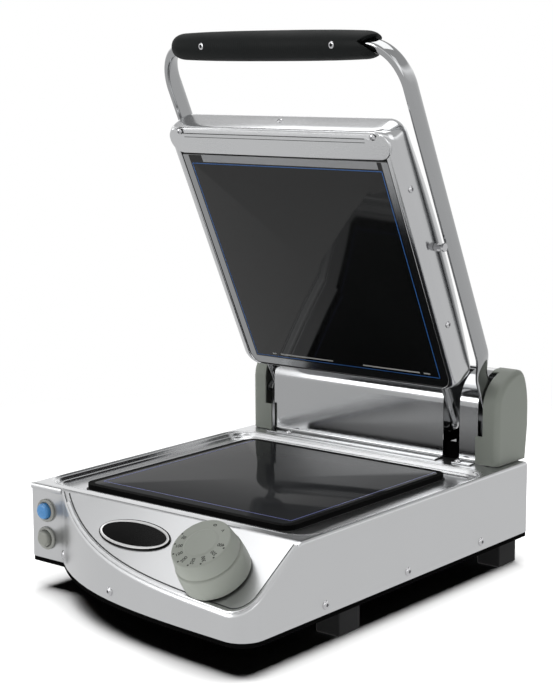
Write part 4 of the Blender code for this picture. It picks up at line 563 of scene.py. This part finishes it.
# Painted shade in the cable slot: dark plates stand in for the shade there, a low one under the guide tube and a higher
# one further back, where the closed lid's tube doesn't reach; each is (left, right, front, back, foot, head), the last
# two over the deck
SLOT_SHADE_PLATES = ((0.0885, 0.1068, 0.1850, 0.1865, -0.5 * MM, 17 * MM), (0.0580, 0.0900, 0.2140, 0.2150, 1 * MM, 26 * MM))
# Painted shade: these black plates darken the slot where only shade is seen
shell("slot_shade", [bar_block(*plan, DECK_TOP + foot, DECK_TOP + head, in_frame) for *plan, foot, head in SLOT_SHADE_PLATES],
      BLACK, "base")

# Knob: a turned cap with a raised disc, a groove at half height and a skirt that swells by 0.85 mm * sin(2.4 * share)
KNOB_X, KNOB_W, KNOB_FACE = 0.1095, 0.0515, 38.2 * MM
on_knob = seat((KNOB_X, KNOB_W, 0), (0, 0, 1), on_panel, (0, -1, 0))
swell = [(30.25 + 0.85 * math.sin(t * 2.4), 22.0 - 20.0 * t) for t in np.linspace(0.03, 1, 16)]
knob_profile = np.array(
    [(0, 39.0), (13.6, 39.0), (14.6, 38.9), (15.2, 38.6), (15.7, 38.3), (16.4, 38.2), (25.4, 38.2), (26.2, 38.05),
     (26.8, 37.6), (27.1, 37.0), (29.35, 24.9), (29.3, 24.3), (28.7, 23.9), (28.6, 23.3), (28.9, 22.8),
     (29.8, 22.4)] + swell + [(30.3, 2.0), (28.0, 2.0), (28.0, 20.0), (0, 20.0)]) * MM
shell("knob_cap", [(on_knob(*spun(knob_profile, 128)), False, True)], KNOB_PLASTIC, "knob",
      ("knob",), angle=50)


FATTEN = 0.022  # share of its size by which a printed letter is fattened


def printed(text, size, place, thick=0.05 * MM):
    """Mesh of a word's outline, moved from its own plane by a place function."""
    curve = bpy.data.curves.new("print", "FONT")
    curve.body = text
    curve.size = size
    curve.align_x, curve.align_y = "CENTER", "CENTER"
    curve.extrude = thick
    curve.offset = FATTEN * size
    word = bpy.data.objects.new("print", curve)
    mesh = bpy.data.meshes.new_from_object(word)
    points = np.empty(len(mesh.vertices) * 3)
    mesh.vertices.foreach_get("co", points)
    points = points.reshape(-1, 3)
    placed = place(points[:, 0], points[:, 1], points[:, 2])
    mesh.vertices.foreach_set("co", placed.ravel())
    bpy.data.objects.remove(word)
    bpy.data.curves.remove(curve)
    return mesh


def joined(name, meshes, material, body):
    """One piece from several placed meshes."""
    bm = bmesh.new()
    for mesh in meshes:
        bm.from_mesh(mesh)
        bpy.data.meshes.remove(mesh)
    whole = bpy.data.meshes.new(name)
    bm.to_mesh(whole)
    bm.free()
    return dress(bpy.data.objects.new(name, whole), material, body)


def dial_mark(text, size, degrees, radius):
    """A mark printed on the knob's face at an angle and radius, its head towards the knob's middle."""
    angle = math.radians(degrees)
    spin = angle + math.pi

    def put(a, b, c):
        along, across = a * math.cos(spin) - b * math.sin(spin), a * math.sin(spin) + b * math.cos(spin)
        return on_knob(radius * math.cos(angle) + along, radius * math.sin(angle) + across, KNOB_FACE + c)
    return printed(text, size, put)


DIAL_START, DIAL_STEP = 5, 27.4  # degrees
FIGURE, FIGURE_RADIUS = 4.6 * MM, 20.2 * MM
DOT, DOT_RADIUS = 11 * MM, 24.6 * MM
SIGN, SIGN_RADIUS = 5.2 * MM, 21.0 * MM
marks = []
for step, value in enumerate(range(50, 401, 50)):
    degrees = DIAL_START - DIAL_STEP * step
    marks.append(dial_mark(str(value), FIGURE, degrees, FIGURE_RADIUS))
    marks.append(dial_mark(".", DOT, degrees, DOT_RADIUS))
for degrees, sign in ((-235, "<"), (-268, "0")):
    marks.append(dial_mark(sign, SIGN, degrees, SIGN_RADIUS))
joined("dial_figures", marks, PRINT_DARK, "knob")

# Badge: an oval with a black rim, a grey band and a domed black field, from rows of (inset, scale, height)
BADGE_X, BADGE_W, BADGE_LONG, BADGE_WIDE = -0.002, 0.0325, 0.042, 0.0165


def oval(profile, steps=120):
    """Panel points of an oval from (inset, scale, height) rows: half axes less the inset, times the scale."""
    inset, scale, height = np.array(profile).T
    angle = np.arange(steps) * TURN / steps
    x = BADGE_X + ((BADGE_LONG - inset) * scale)[:, None] * np.cos(angle)
    w = BADGE_W + ((BADGE_WIDE - inset) * scale)[:, None] * np.sin(angle)
    return on_panel(x, w, np.repeat(height[:, None], steps, 1)), False, True


def dome(start, low, high, count=10):
    """Profile of a shallow dome inwards from start: height grows with the sine of the share covered."""
    return [(start, 1 - s, low + (high - low) * math.sin(s * math.pi / 2)) for s in np.linspace(0, 1, count)]


badge_edge = [(0, 1, 0.1 * MM), (0, 1, 1.1 * MM), (0.3 * MM, 1, 1.4 * MM)]
shell("badge_field", [oval(badge_edge + dome(0.5 * MM, 1.5 * MM, 2.6 * MM))], BADGE, "base",
      ("badge_plate",))
shell("badge_rim", [oval([(1.2 * MM, 1, 0.6 * MM), (1.2 * MM, 1, 1.7 * MM), (1.5 * MM, 1, 2.0 * MM),
                          (3.4 * MM, 1, 2.1 * MM), (3.8 * MM, 1, 1.9 * MM), (3.8 * MM, 1, 0.8 * MM)])],
      RIM_GREY, "base", ("badge_ring",))

# Buttons: broad grey bezels and shallow domed caps, each turned from rows of (radius, height), with a printed mark
BUTTON_X, MARK, MARK_HEIGHT = -0.144, 6.5 * MM, 6.88 * MM
ring = np.array([(7.8, -3.0), (7.8, 1.6), (8.1, 2.1), (8.8, 2.4), (10.2, 2.3), (10.9, 1.9), (11.2, 1.2), (11.2, 0.3),
                 (10.9, -0.3), (8.4, -0.3), (8.4, -3.0)]) * MM
cap = np.array([(0, 7.0), (3.0, 6.95), (5.2, 6.8), (6.4, 6.4), (7.1, 5.8), (7.4, 5.0), (7.5, 4.0), (7.5, -3.0),
                (3.75, -3.0), (3.75, -9.0), (0, -9.0)]) * MM
for name, height, cap_material, cap_slot, sign, look in (("power", 0.0475, BLUE, "blue_cap", "I", PRINT_DARK),
                                                        ("start", 0.0205, CAP_GREY, "grey_cap", "O", PRINT_GREY)):
    on_button = seat((BUTTON_X, CREST, WALL_LOW + height), (0, -1, 0))
    shell(name + "_bezel_ring", [(on_button(*spun(ring, 64)), True, True)], BEZEL_GREY, "base",
          (name + "_bezel",))
    shell(name + "_cap", [(on_button(*spun(cap, 64)), False, True)], cap_material, name + "_push",
          (name + "_button",), angle=50)
    mark = printed(sign, MARK, lambda a, b, c, put=on_button: put(-a, b, MARK_HEIGHT + c))
    joined(name + "_mark", [mark], look, name + "_push")

# Screw heads of the base; a screw is (radius, height, half width of its key)
BASE_SCREW, COVER_SCREW = np.array([(4.3, 1.9, 1.5), (3.6, 1.8, 1.3)]) * MM
SCREW_Z, SIDE_SCREWS_Y, FRONT_SCREWS_X = WALL_LOW + 8.5 * MM, (0.033, 0.1565, 0.280), (-0.007, -0.1205)
heads = []
for y in SIDE_SCREWS_Y:
    for side in (1, -1):
        heads.append(socket_head(*BASE_SCREW, seat((side * SIDE, y + CREST, SCREW_Z), (side, 0, 0))))
for x in FRONT_SCREWS_X:
    slope = math.atan((front_y(x + MM) - front_y(x - MM)) / (2 * MM)) if x > COLUMN_X else 0
    on_front = seat((x, front_y(x) + CREST, SCREW_Z), (math.sin(slope), -math.cos(slope), 0))
    heads.append(socket_head(*BASE_SCREW, on_front))
shell("base_screw_heads", heads, BRIGHT, "base")
for hand in ("left", "right"):
    box_low, box_high = (np.array(corner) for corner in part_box("rear_cover_screw_" + hand))
    centre = (box_low + box_high) / 2
    on_cover = seat((centre[0], centre[1], box_high[2] - 1.6 * MM), (0, 0, 1), across=(0, 1, 0))
    shell("cover_screw_head_" + hand, [socket_head(*COVER_SCREW, on_cover)], BRIGHT, "base",
          ("rear_cover_screw_" + hand,))


# ---------------------------------------------------------------- lid, arms and grip

# Arms and rod in the lid's axes: places in x, half sizes of their section, heights in n and stations in v
ARM_X, ARM_FLAT, ARM_WIDE, ROD = 0.1424, 0.0035, 0.010, 0.0058
ARM_N, HANDLE_N = -0.038, -0.037
BAR_FRONT, LID_FRONT = 0.2685, 0.270
HANDLE_V = LID_FRONT + 0.0667
BEND_V, BEND_REACH = HANDLE_V - 0.0417, 0.0304
FOOT_X, FOOT_FLAT = 0.1345, 0.0027
JOG_TOP, JOG_END, FOOT_END = 0.008, -0.026, -0.086

# Lid shell: rings from the lip on the glass over a broad round edge, down the wall and closed at the pillowed back
LID_HALF, LID_NEAR, LID_CORNER = 0.136, -0.012, 14 * MM
LID_BULGE, LID_MIDDLE, LID_REACH = 13 * MM, 0.129, 0.141


def lid_ring(side, end, n, share):
    """Plan drawn in by side in x and by end in v at height n, less bulge * (1 - ((v - middle) / reach)^2) * share."""
    plan = rounded(LID_HALF, LID_NEAR, LID_FRONT, LID_CORNER, 12, 30)
    x = plan[:, 0] * (LID_HALF - side) / LID_HALF
    v = LID_MIDDLE + (plan[:, 1] - LID_MIDDLE) * (LID_REACH - end) / LID_REACH
    pillow = np.clip(1 - ((v - LID_MIDDLE) / LID_REACH) ** 2, 0, 1)
    return on_lid(x, v, n - LID_BULGE * share * pillow)


# Rings in millimetres as (side, end, n, share). For the round edge, the turn to the back and the back itself, which
# closes from the inset BACK_FROM on: how far it draws in at the sides and the ends, where it starts, how deep it is
EDGE_SIDE, EDGE_END, EDGE_START, WALL_END = 9.5, 1.1, 1.2, -14
TURN_SIDE, TURN_END, TURN_START, TURN_DEEP = 15, 6, -20, 12
BACK_FROM, BACK_SIDE, BACK_END, BACK_START, BACK_DEEP = 30, 105.9, 110.9, -32.3, 0.3
rings = [(10.8, 1.3, -3.0, 0), (10.7, 1.2, 0.5, 0), (10.3, 1.15, 1.05, 0)]
rings += [(EDGE_SIDE * (1 - math.sin(a)), EDGE_END * (1 - math.sin(a)), EDGE_START - EDGE_SIDE * (1 - math.cos(a)), 0)
          for a in np.linspace(0, math.pi / 2, 10)]
rings += [(0, 0, WALL_END, 0)]
rings += [(TURN_SIDE * (1 - math.cos(a)), TURN_END * (1 - math.cos(a)), TURN_START - TURN_DEEP * math.sin(a),
           math.sin(a)) for a in np.linspace(0, math.pi / 2, 12)]
rings += [(BACK_FROM + BACK_SIDE * s, BACK_FROM + BACK_END * s, BACK_START - BACK_DEEP * s, 1)
          for s in np.linspace(0, 1, 18)]
shell("lid_sheet", [(np.stack([lid_ring(s * MM, e * MM, n * MM, share) for s, e, n, share in rings]), False, True)],
      LID_SATIN, "lid", ("lid_housing",), angle=50)
smoothed("front_bar", "bar_sheet", BAR_STEEL, angle=25)

# Lid glass: its pane, the line round its field and the grey border outside that line
PANE_HALF, PANE_NEAR, PANE_FAR, PANE_CORNER = 0.125, -0.0105, 0.2392, 2.2 * MM
PANE_THICK, PANE_ROUND = 4 * MM, 0.5 * MM
LID_FIELD, LID_FIELD_FAR = 0.1156, 0.229
BORDER, BORDER_FAR = 1.4 * MM, 0.2380


def lid_plan(inset):
    """Plan of the lid's glass drawn in by inset, in x and v."""
    return rounded(PANE_HALF - inset, PANE_NEAR + inset, PANE_FAR - inset, max(PANE_CORNER - inset, 0.4 * MM), 6)


glass_pane("lid_glass_pane", lid_plan, -PANE_THICK, 0.0, PANE_ROUND, on_lid, GLASS_LID,
           "lid", ("lid_glass",))
shell("lid_field_line", [field_line(LID_FIELD, 0.0, LID_FIELD_FAR, 0.9 * MM, 0.0, on_lid)], LINE_LID,
      "lid")
lid_border = rounded(LID_FIELD + BORDER, -BORDER, BORDER_FAR, 1.0 * MM, 6)
shell("lid_glass_edge", [band(lid_plan(0.9 * MM), lid_border, -0.2 * MM, 0.03 * MM, on_lid)], EDGE_GREY, "lid")

# Bars on the lid's glass: a grey strip near the front bar and pale printed dashes near the hinge, as x and v
STRIP = (-0.100, 0.112, 0.2305, 0.2385)
DASHES = [(start * MM, end * MM, 3.2 * MM, 4.7 * MM)
          for start, end in ((-93.5, -88.4), (-82.6, -14.3), (23.7, 92.3), (97.1, 104.6))]
for name, plans, look in (("lid_window_strip", [STRIP], STRIP_GREY), ("lid_field_dashes", DASHES, DASH_PALE)):
    shell(name, [bar_block(*plan, -SUNK, 0.05 * MM, on_lid) for plan in plans], look, "lid")

# Bar: painted shade at two steps along its upper edge, fine dark lines between the end screws
STEP_LEFT, STEP_RIGHT, STEP_FOOT, STEP_HEAD = -0.1125, 0.1065, 1.3 * MM, 1.56 * MM
for name, drop, wide in (("upper", 6.0, 0.45), ("lower", 9.6, 0.6)):
    line = bar_block(STEP_LEFT, STEP_RIGHT, BAR_FRONT - (drop + wide) * MM, BAR_FRONT - drop * MM,
                     STEP_FOOT, STEP_HEAD, on_lid)
    shell("bar_step_shade_" + name, [line], PAINTED_GROOVE_SHADE, "lid")

# Arms: half the path from the grip's middle to the foot, then its mirror image. The path runs straight through
# the grip, round the bend, down the straight arm, through a jog that eases in and out, and down the foot.
GRIP_STRAIGHT, ARM_STRAIGHT, FOOT_STRAIGHT = 0.07, [0.16, 0.03], -0.05
turn = np.linspace(0, math.pi / 2, 30)
share = turn / (math.pi / 2)
bend_x = ARM_X - BEND_REACH + BEND_REACH * np.sin(turn)
bend_v = BEND_V + (HANDLE_V - BEND_V) * np.cos(turn)
jog = np.linspace(0, 1, 14)
ease = jog * jog * (3 - 2 * jog)
jog_v = JOG_TOP + (JOG_END - JOG_TOP) * jog
path_x = np.concatenate([[0, GRIP_STRAIGHT], bend_x, [ARM_X] * 2, ARM_X + (FOOT_X - ARM_X) * ease, [FOOT_X] * 2])
path_v = np.concatenate([[HANDLE_V] * 2, bend_v, ARM_STRAIGHT, jog_v, [FOOT_STRAIGHT, FOOT_END]])
tail = len(path_x) - len(bend_x) - 2
path_n = np.concatenate([[HANDLE_N] * 2, HANDLE_N + (ARM_N - HANDLE_N) * share, [ARM_N] * tail])
thick = np.concatenate([[ROD] * 2, ROD + (ARM_FLAT - ROD) * share, [ARM_FLAT] * 2,
                        ARM_FLAT + (FOOT_FLAT - ARM_FLAT) * ease, [FOOT_FLAT] * 2])
wide = np.concatenate([[ROD] * 2, ROD + (ARM_WIDE - ROD) * share, [ARM_WIDE] * tail])


def flat_tube(x, v, n, thick, wide, steps=40, power=0.8):
    """A tube along a path in x and v: each ring is a squared off oval across the run, thick in the plane, wide in n.

    The ring's points are (|cos|^power * thick, |sin|^power * wide) with their signs, the first along the
    normal of the run, and the ends are closed by collapsed rings.
    """
    run_x, run_v = np.gradient(x), np.gradient(v)
    length = np.hypot(run_x, run_v)
    normal_x, normal_v = -run_v / length, run_x / length
    angle = (np.arange(steps) + 0.5) * TURN / steps
    across = np.sign(np.cos(angle)) * np.abs(np.cos(angle)) ** power
    along = np.sign(np.sin(angle)) * np.abs(np.sin(angle)) ** power
    thick, wide = (np.pad(a, 1) for a in (thick, wide))
    x, v, n, normal_x, normal_v = (np.pad(a, 1, mode="edge") for a in (x, v, n, normal_x, normal_v))
    side = thick[:, None] * across
    return on_lid(x[:, None] + normal_x[:, None] * side, v[:, None] + normal_v[:, None] * side,
                  n[:, None] + wide[:, None] * along), False, True


def mirrored(values, sign=1):
    """A half path carried on past its middle point."""
    return np.concatenate([sign * values[:0:-1], values])


halves = (mirrored(values) for values in (path_v, path_n, thick, wide))
shell("arms_and_rod", [flat_tube(mirrored(path_x, -1), *halves)], POLISHED, "arms",
      ("handle_frame",), angle=60)

# Grip: a sleeve with fine ribs, domed at its ends; the right end runs back in a V where the rod bends away
GRIP_HALF, GRIP_MIDDLE, GRIP_END = 0.121, 0.0143, 0.0122
GRIP_TURN = math.radians(-25.8)
GRIP_SCREW_X = 0.078
BORE, BORE_DEEP, DOME_TIP = 6.6 * MM, 0.03, 7.2 * MM
NOTCH, NOTCH_HALF, NOTCH_TURN = 0.016, 0.0092, math.radians(14)
DOME = 0.013
RIB_PITCH, RIB_DEEP, RIB_REACH, RIB_FADE = 2.6 * MM, 0.16 * MM, 0.070, 3 * MM


def on_grip(x, a, b):
    """Frame points of the grip's own x, a, b, which are turned about x against the lid's v and n."""
    v = HANDLE_V + a * math.cos(GRIP_TURN) - b * math.sin(GRIP_TURN)
    n = HANDLE_N + a * math.sin(GRIP_TURN) + b * math.cos(GRIP_TURN)
    return on_lid(x, v, n)


def grip_radius(share):
    """Radius of the grip without its ribs: it narrows with the cube of the share of its half length."""
    return GRIP_MIDDLE - (GRIP_MIDDLE - GRIP_END) * share ** 3


def grip_half(side, angle):
    """Rows from the grip's middle to one end and back into the bore.

    The ribs take a cosine of the way along off the radius. The end is a quarter round dome that stops where
    it is as narrow as the bore's rim. At the right end x is also held below a V:
    half - depth * (1 - |r sin(t - turn)| / half width).
    """
    def reach(radius):
        across = np.abs(radius * np.sin(angle - NOTCH_TURN))
        deep = NOTCH * np.clip(1 - across / NOTCH_HALF, 0, 1) if side > 0 else 0 * across
        return GRIP_HALF - deep
    rows = []
    for s in np.linspace(0, 1, 190):
        base = s * GRIP_HALF
        radius = grip_radius(s)
        fade = np.clip((RIB_REACH - base) / RIB_FADE, 0, 1)
        radius -= fade * RIB_DEEP * (0.5 + 0.5 * math.cos(TURN * base / RIB_PITCH))
        end = np.clip((base - GRIP_HALF + DOME) / DOME, 0, 1)
        radius -= (GRIP_END - DOME_TIP) * (1 - math.sqrt(max(1 - end ** 2, 0)))
        rows.append((np.minimum(base, reach(radius)), radius * np.ones(len(angle))))
    last = rows[-1][1][0]
    for radius in np.linspace(last, BORE, 5)[1:]:
        rows.append((reach(radius), radius * np.ones(len(angle))))
    rows.append((np.full(len(angle), GRIP_HALF - BORE_DEEP), np.full(len(angle), BORE)))
    return [(side * x, r) for x, r in rows]


GRIP_STEPS = 72
angle = np.arange(GRIP_STEPS) * TURN / GRIP_STEPS
rows = grip_half(-1, angle)[::-1] + grip_half(1, angle)[1:]
grip_x = np.stack([row[0] for row in rows])
grip_r = np.stack([row[1] for row in rows])
shell("ribbed_grip", [(on_grip(grip_x, grip_r * np.sin(angle), grip_r * np.cos(angle)), False, True)], GRIP, "arms",
      ("grip_front", "grip_rear"), angle=45)

# Screws of the grip, the lid and the bar: (radius, height, half width of the key)
GRIP_SCREW, LID_SCREW, BAR_SCREW = np.array([(3.3, 0.9, 1.5), (3.4, 1.7, 1.25), (3.3, 1.9, 1.25)]) * MM
LID_SCREWS_V, BAR_SCREW_X = (0.060, 0.207), 0.1165
screw_b = grip_radius(GRIP_SCREW_X / GRIP_HALF) - 0.5 * MM
for hand, x in (("left", -GRIP_SCREW_X), ("right", GRIP_SCREW_X)):
    head = socket_head(*GRIP_SCREW, seat((x, 0, screw_b), (0, 0, 1), on_grip, (0, 1, 0)), sunk=1 * MM)
    shell("grip_bolt_" + hand, [head], BRIGHT, "arms", ("grip_screw_" + hand,))
heads = []
for v in LID_SCREWS_V:
    for side in (1, -1):
        heads.append(socket_head(*LID_SCREW, seat((side * LID_HALF, v, -8 * MM), (side, 0, 0), on_lid)))
heads.append(socket_head(*LID_SCREW, seat((0, LID_FRONT, -15 * MM), (0, 1, 0), on_lid)))
for x in (-BAR_SCREW_X, BAR_SCREW_X):
    on_bar = seat((x, BAR_FRONT - 4.2 * MM, 1.4 * MM), (0, 0, 1), on_lid, (0, 1, 0))
    heads.append(socket_head(*BAR_SCREW, on_bar))
shell("lid_screw_heads", heads, BRIGHT, "lid")


# ---------------------------------------------------------------- floor, lamps and camera

FLOOR_HALF, FLOOR_COLOUR, FLOOR_MIRRORED = 20.0, (0.64, 0.64, 0.64), 0.95
FADE_START, FADE_END = 0.45, 0.95
CAMERA_PLACE = (1.0159, -1.226383, 0.5021)
CAMERA_YAW, CAMERA_PITCH, CAMERA_ROLL = math.radians(39.11495), math.radians(-9.58311), math.radians(-0.2251)
CAMERA_LENS, CAMERA_SENSOR = 88.14, 36.0
# Name, place, aim, size and watts of each lamp, and whether it leaves the floor out or lights nothing else
LAMPS = (
    ("top light", (-0.25, 0.0, 1.9), (-0.25, 0.0, 0.0), (2.2, 1.8), 28.0, "EXCLUDE"),
    ("right light", (2.0, -0.5, 1.1), (0.0, 0.0, 0.2), (1.2, 1.4), 6.0, "EXCLUDE"),
    ("front light", (-1.2, -2.2, 1.0), (0.0, 0.0, 0.2), (1.2, 1.2), 22.0, "EXCLUDE"),
    ("floor light", (0.1, -0.05, 2.0), (0.1, -0.05, 0.0), (2.2, 2.2), 150.0, "INCLUDE"),
)
WORLD_EVEN = 0.003
# Sine of the height, from -1 at 0 to 1 at 1, and the shade seen there in reflections
WORLD_STOPS = ((0.0, 0.92), (0.5, 0.95), (0.58, 1.25), (0.63, 1.90), (0.70, 0.75), (0.84, 0.75), (0.93, 0.70),
               (1.0, 0.80))


def grey(shade):
    """A colour socket's value of an even shade."""
    return shade, shade, shade, 1


def shining(nodes, kind, shade):
    """Shader socket of a new emission or background node of an even shade."""
    node = nodes.new(kind)
    node.inputs["Color"].default_value = grey(shade)
    return node.outputs[0]


def chosen(nodes, links, factor, other, this):
    """A shader that is other where the factor is 0 and this where it is 1."""
    mix = nodes.new("ShaderNodeMixShader")
    for number, socket in enumerate((factor, other, this)):
        links.new(socket, mix.inputs[number])
    return mix.outputs[0]


def make_floor():
    """A flat square that keeps the shadow near the object and turns to plain white away from it."""
    mesh = bpy.data.meshes.new("floor")
    f = FLOOR_HALF
    mesh.from_pydata([(-f, -f, 0), (f, -f, 0), (f, f, 0), (-f, f, 0)], [], [(0, 1, 2, 3)])
    floor = bpy.data.objects.new("floor", mesh)
    bpy.context.scene.collection.objects.link(floor)
    material = dull(finish("pale floor", FLOOR_COLOUR, 0.85, 0.0, 60.0, shade=0.005, rough_spread=0.02), 0.0)
    mesh.materials.append(material)
    nodes, links = material.node_tree.nodes, material.node_tree.links
    skin = nodes["Principled BSDF"].outputs[0]
    distance = nodes.new("ShaderNodeVectorMath")
    distance.operation = "LENGTH"
    links.new(nodes.new("ShaderNodeTexCoord").outputs["Object"], distance.inputs[0])
    far = ranged(nodes, links, distance.outputs["Value"], 0.0, 1.0, FADE_START, FADE_END)
    path = nodes.new("ShaderNodeLightPath")
    seen = chosen(nodes, links, far, skin, shining(nodes, "ShaderNodeEmission", 1.0))
    glossy = chosen(nodes, links, path.outputs["Is Glossy Ray"], skin,
                    shining(nodes, "ShaderNodeEmission", FLOOR_MIRRORED))
    choice = chosen(nodes, links, path.outputs["Is Camera Ray"], glossy, seen)
    links.new(choice, nodes["Material Output"].inputs["Surface"])
    return floor


def light_only(lamp, thing, state):
    """Lets the lamp light only that thing, or everything but it."""
    group = bpy.data.collections.new(lamp.name + " reach")
    group.objects.link(thing)
    group.collection_objects[0].light_linking.link_state = state
    lamp.light_linking.receiver_collection = group


def make_lamp(name, place, aim, size, watts):
    """An area lamp at place that points at aim."""
    data = bpy.data.lights.new(name, "AREA")
    data.shape = "RECTANGLE"
    data.size, data.size_y = size
    data.energy = watts
    lamp = bpy.data.objects.new(name, data)
    bpy.context.scene.collection.objects.link(lamp)
    lamp.location = place
    lamp.rotation_euler = (Vector(aim) - Vector(place)).to_track_quat("-Z", "Y").to_euler()
    return lamp


def make_world():
    """White to the camera, a studio of bright and darker bands by height in reflections, an even light otherwise."""
    world = bpy.data.worlds.new("studio")
    bpy.context.scene.world = world
    world.use_nodes = True
    nodes, links = world.node_tree.nodes, world.node_tree.links
    even = nodes["Background"]
    even.inputs["Color"].default_value = grey(1)
    even.inputs["Strength"].default_value = WORLD_EVEN
    split = nodes.new("ShaderNodeSeparateXYZ")
    links.new(nodes.new("ShaderNodeTexCoord").outputs["Generated"], split.inputs[0])
    height = ranged(nodes, links, split.outputs["Z"], 0.0, 1.0, -1.0, 1.0)
    ramp = nodes.new("ShaderNodeValToRGB")
    links.new(height, ramp.inputs["Fac"])
    stops = ramp.color_ramp.elements
    for stop, (position, shade) in zip(stops, (WORLD_STOPS[0], WORLD_STOPS[-1])):
        stop.position, stop.color = position, grey(shade)
    for position, shade in WORLD_STOPS[1:-1]:
        stops.new(position).color = grey(shade)
    mirror = nodes.new("ShaderNodeBackground")
    links.new(ramp.outputs["Color"], mirror.inputs["Color"])
    path = nodes.new("ShaderNodeLightPath")
    glossy = chosen(nodes, links, path.outputs["Is Glossy Ray"], even.outputs[0], mirror.outputs[0])
    choice = chosen(nodes, links, path.outputs["Is Camera Ray"], glossy, shining(nodes, "ShaderNodeBackground", 1.0))
    links.new(choice, nodes["World Output"].inputs["Surface"])


def make_camera():
    """The camera fitted to the photograph's edges: yaw about Z, then pitch, then roll about its own axis."""
    data = bpy.data.cameras.new("camera")
    data.sensor_fit = "VERTICAL"
    data.sensor_height = CAMERA_SENSOR
    data.sensor_width = CAMERA_SENSOR
    data.lens = CAMERA_LENS
    data.clip_end = 200.0
    camera = bpy.data.objects.new("camera", data)
    bpy.context.scene.collection.objects.link(camera)
    turn = (Matrix.Rotation(CAMERA_YAW, 4, "Z") @ Matrix.Rotation(math.pi / 2 + CAMERA_PITCH, 4, "X")
            @ Matrix.Rotation(CAMERA_ROLL, 4, "Z"))
    camera.matrix_world = Matrix.Translation(CAMERA_PLACE) @ turn
    bpy.context.scene.camera = camera


floor = make_floor()
make_world()
for *lamp, state in LAMPS:
    light_only(make_lamp(*lamp), floor, state)
make_camera()

scene = bpy.context.scene
scene.view_settings.view_transform = "Standard"
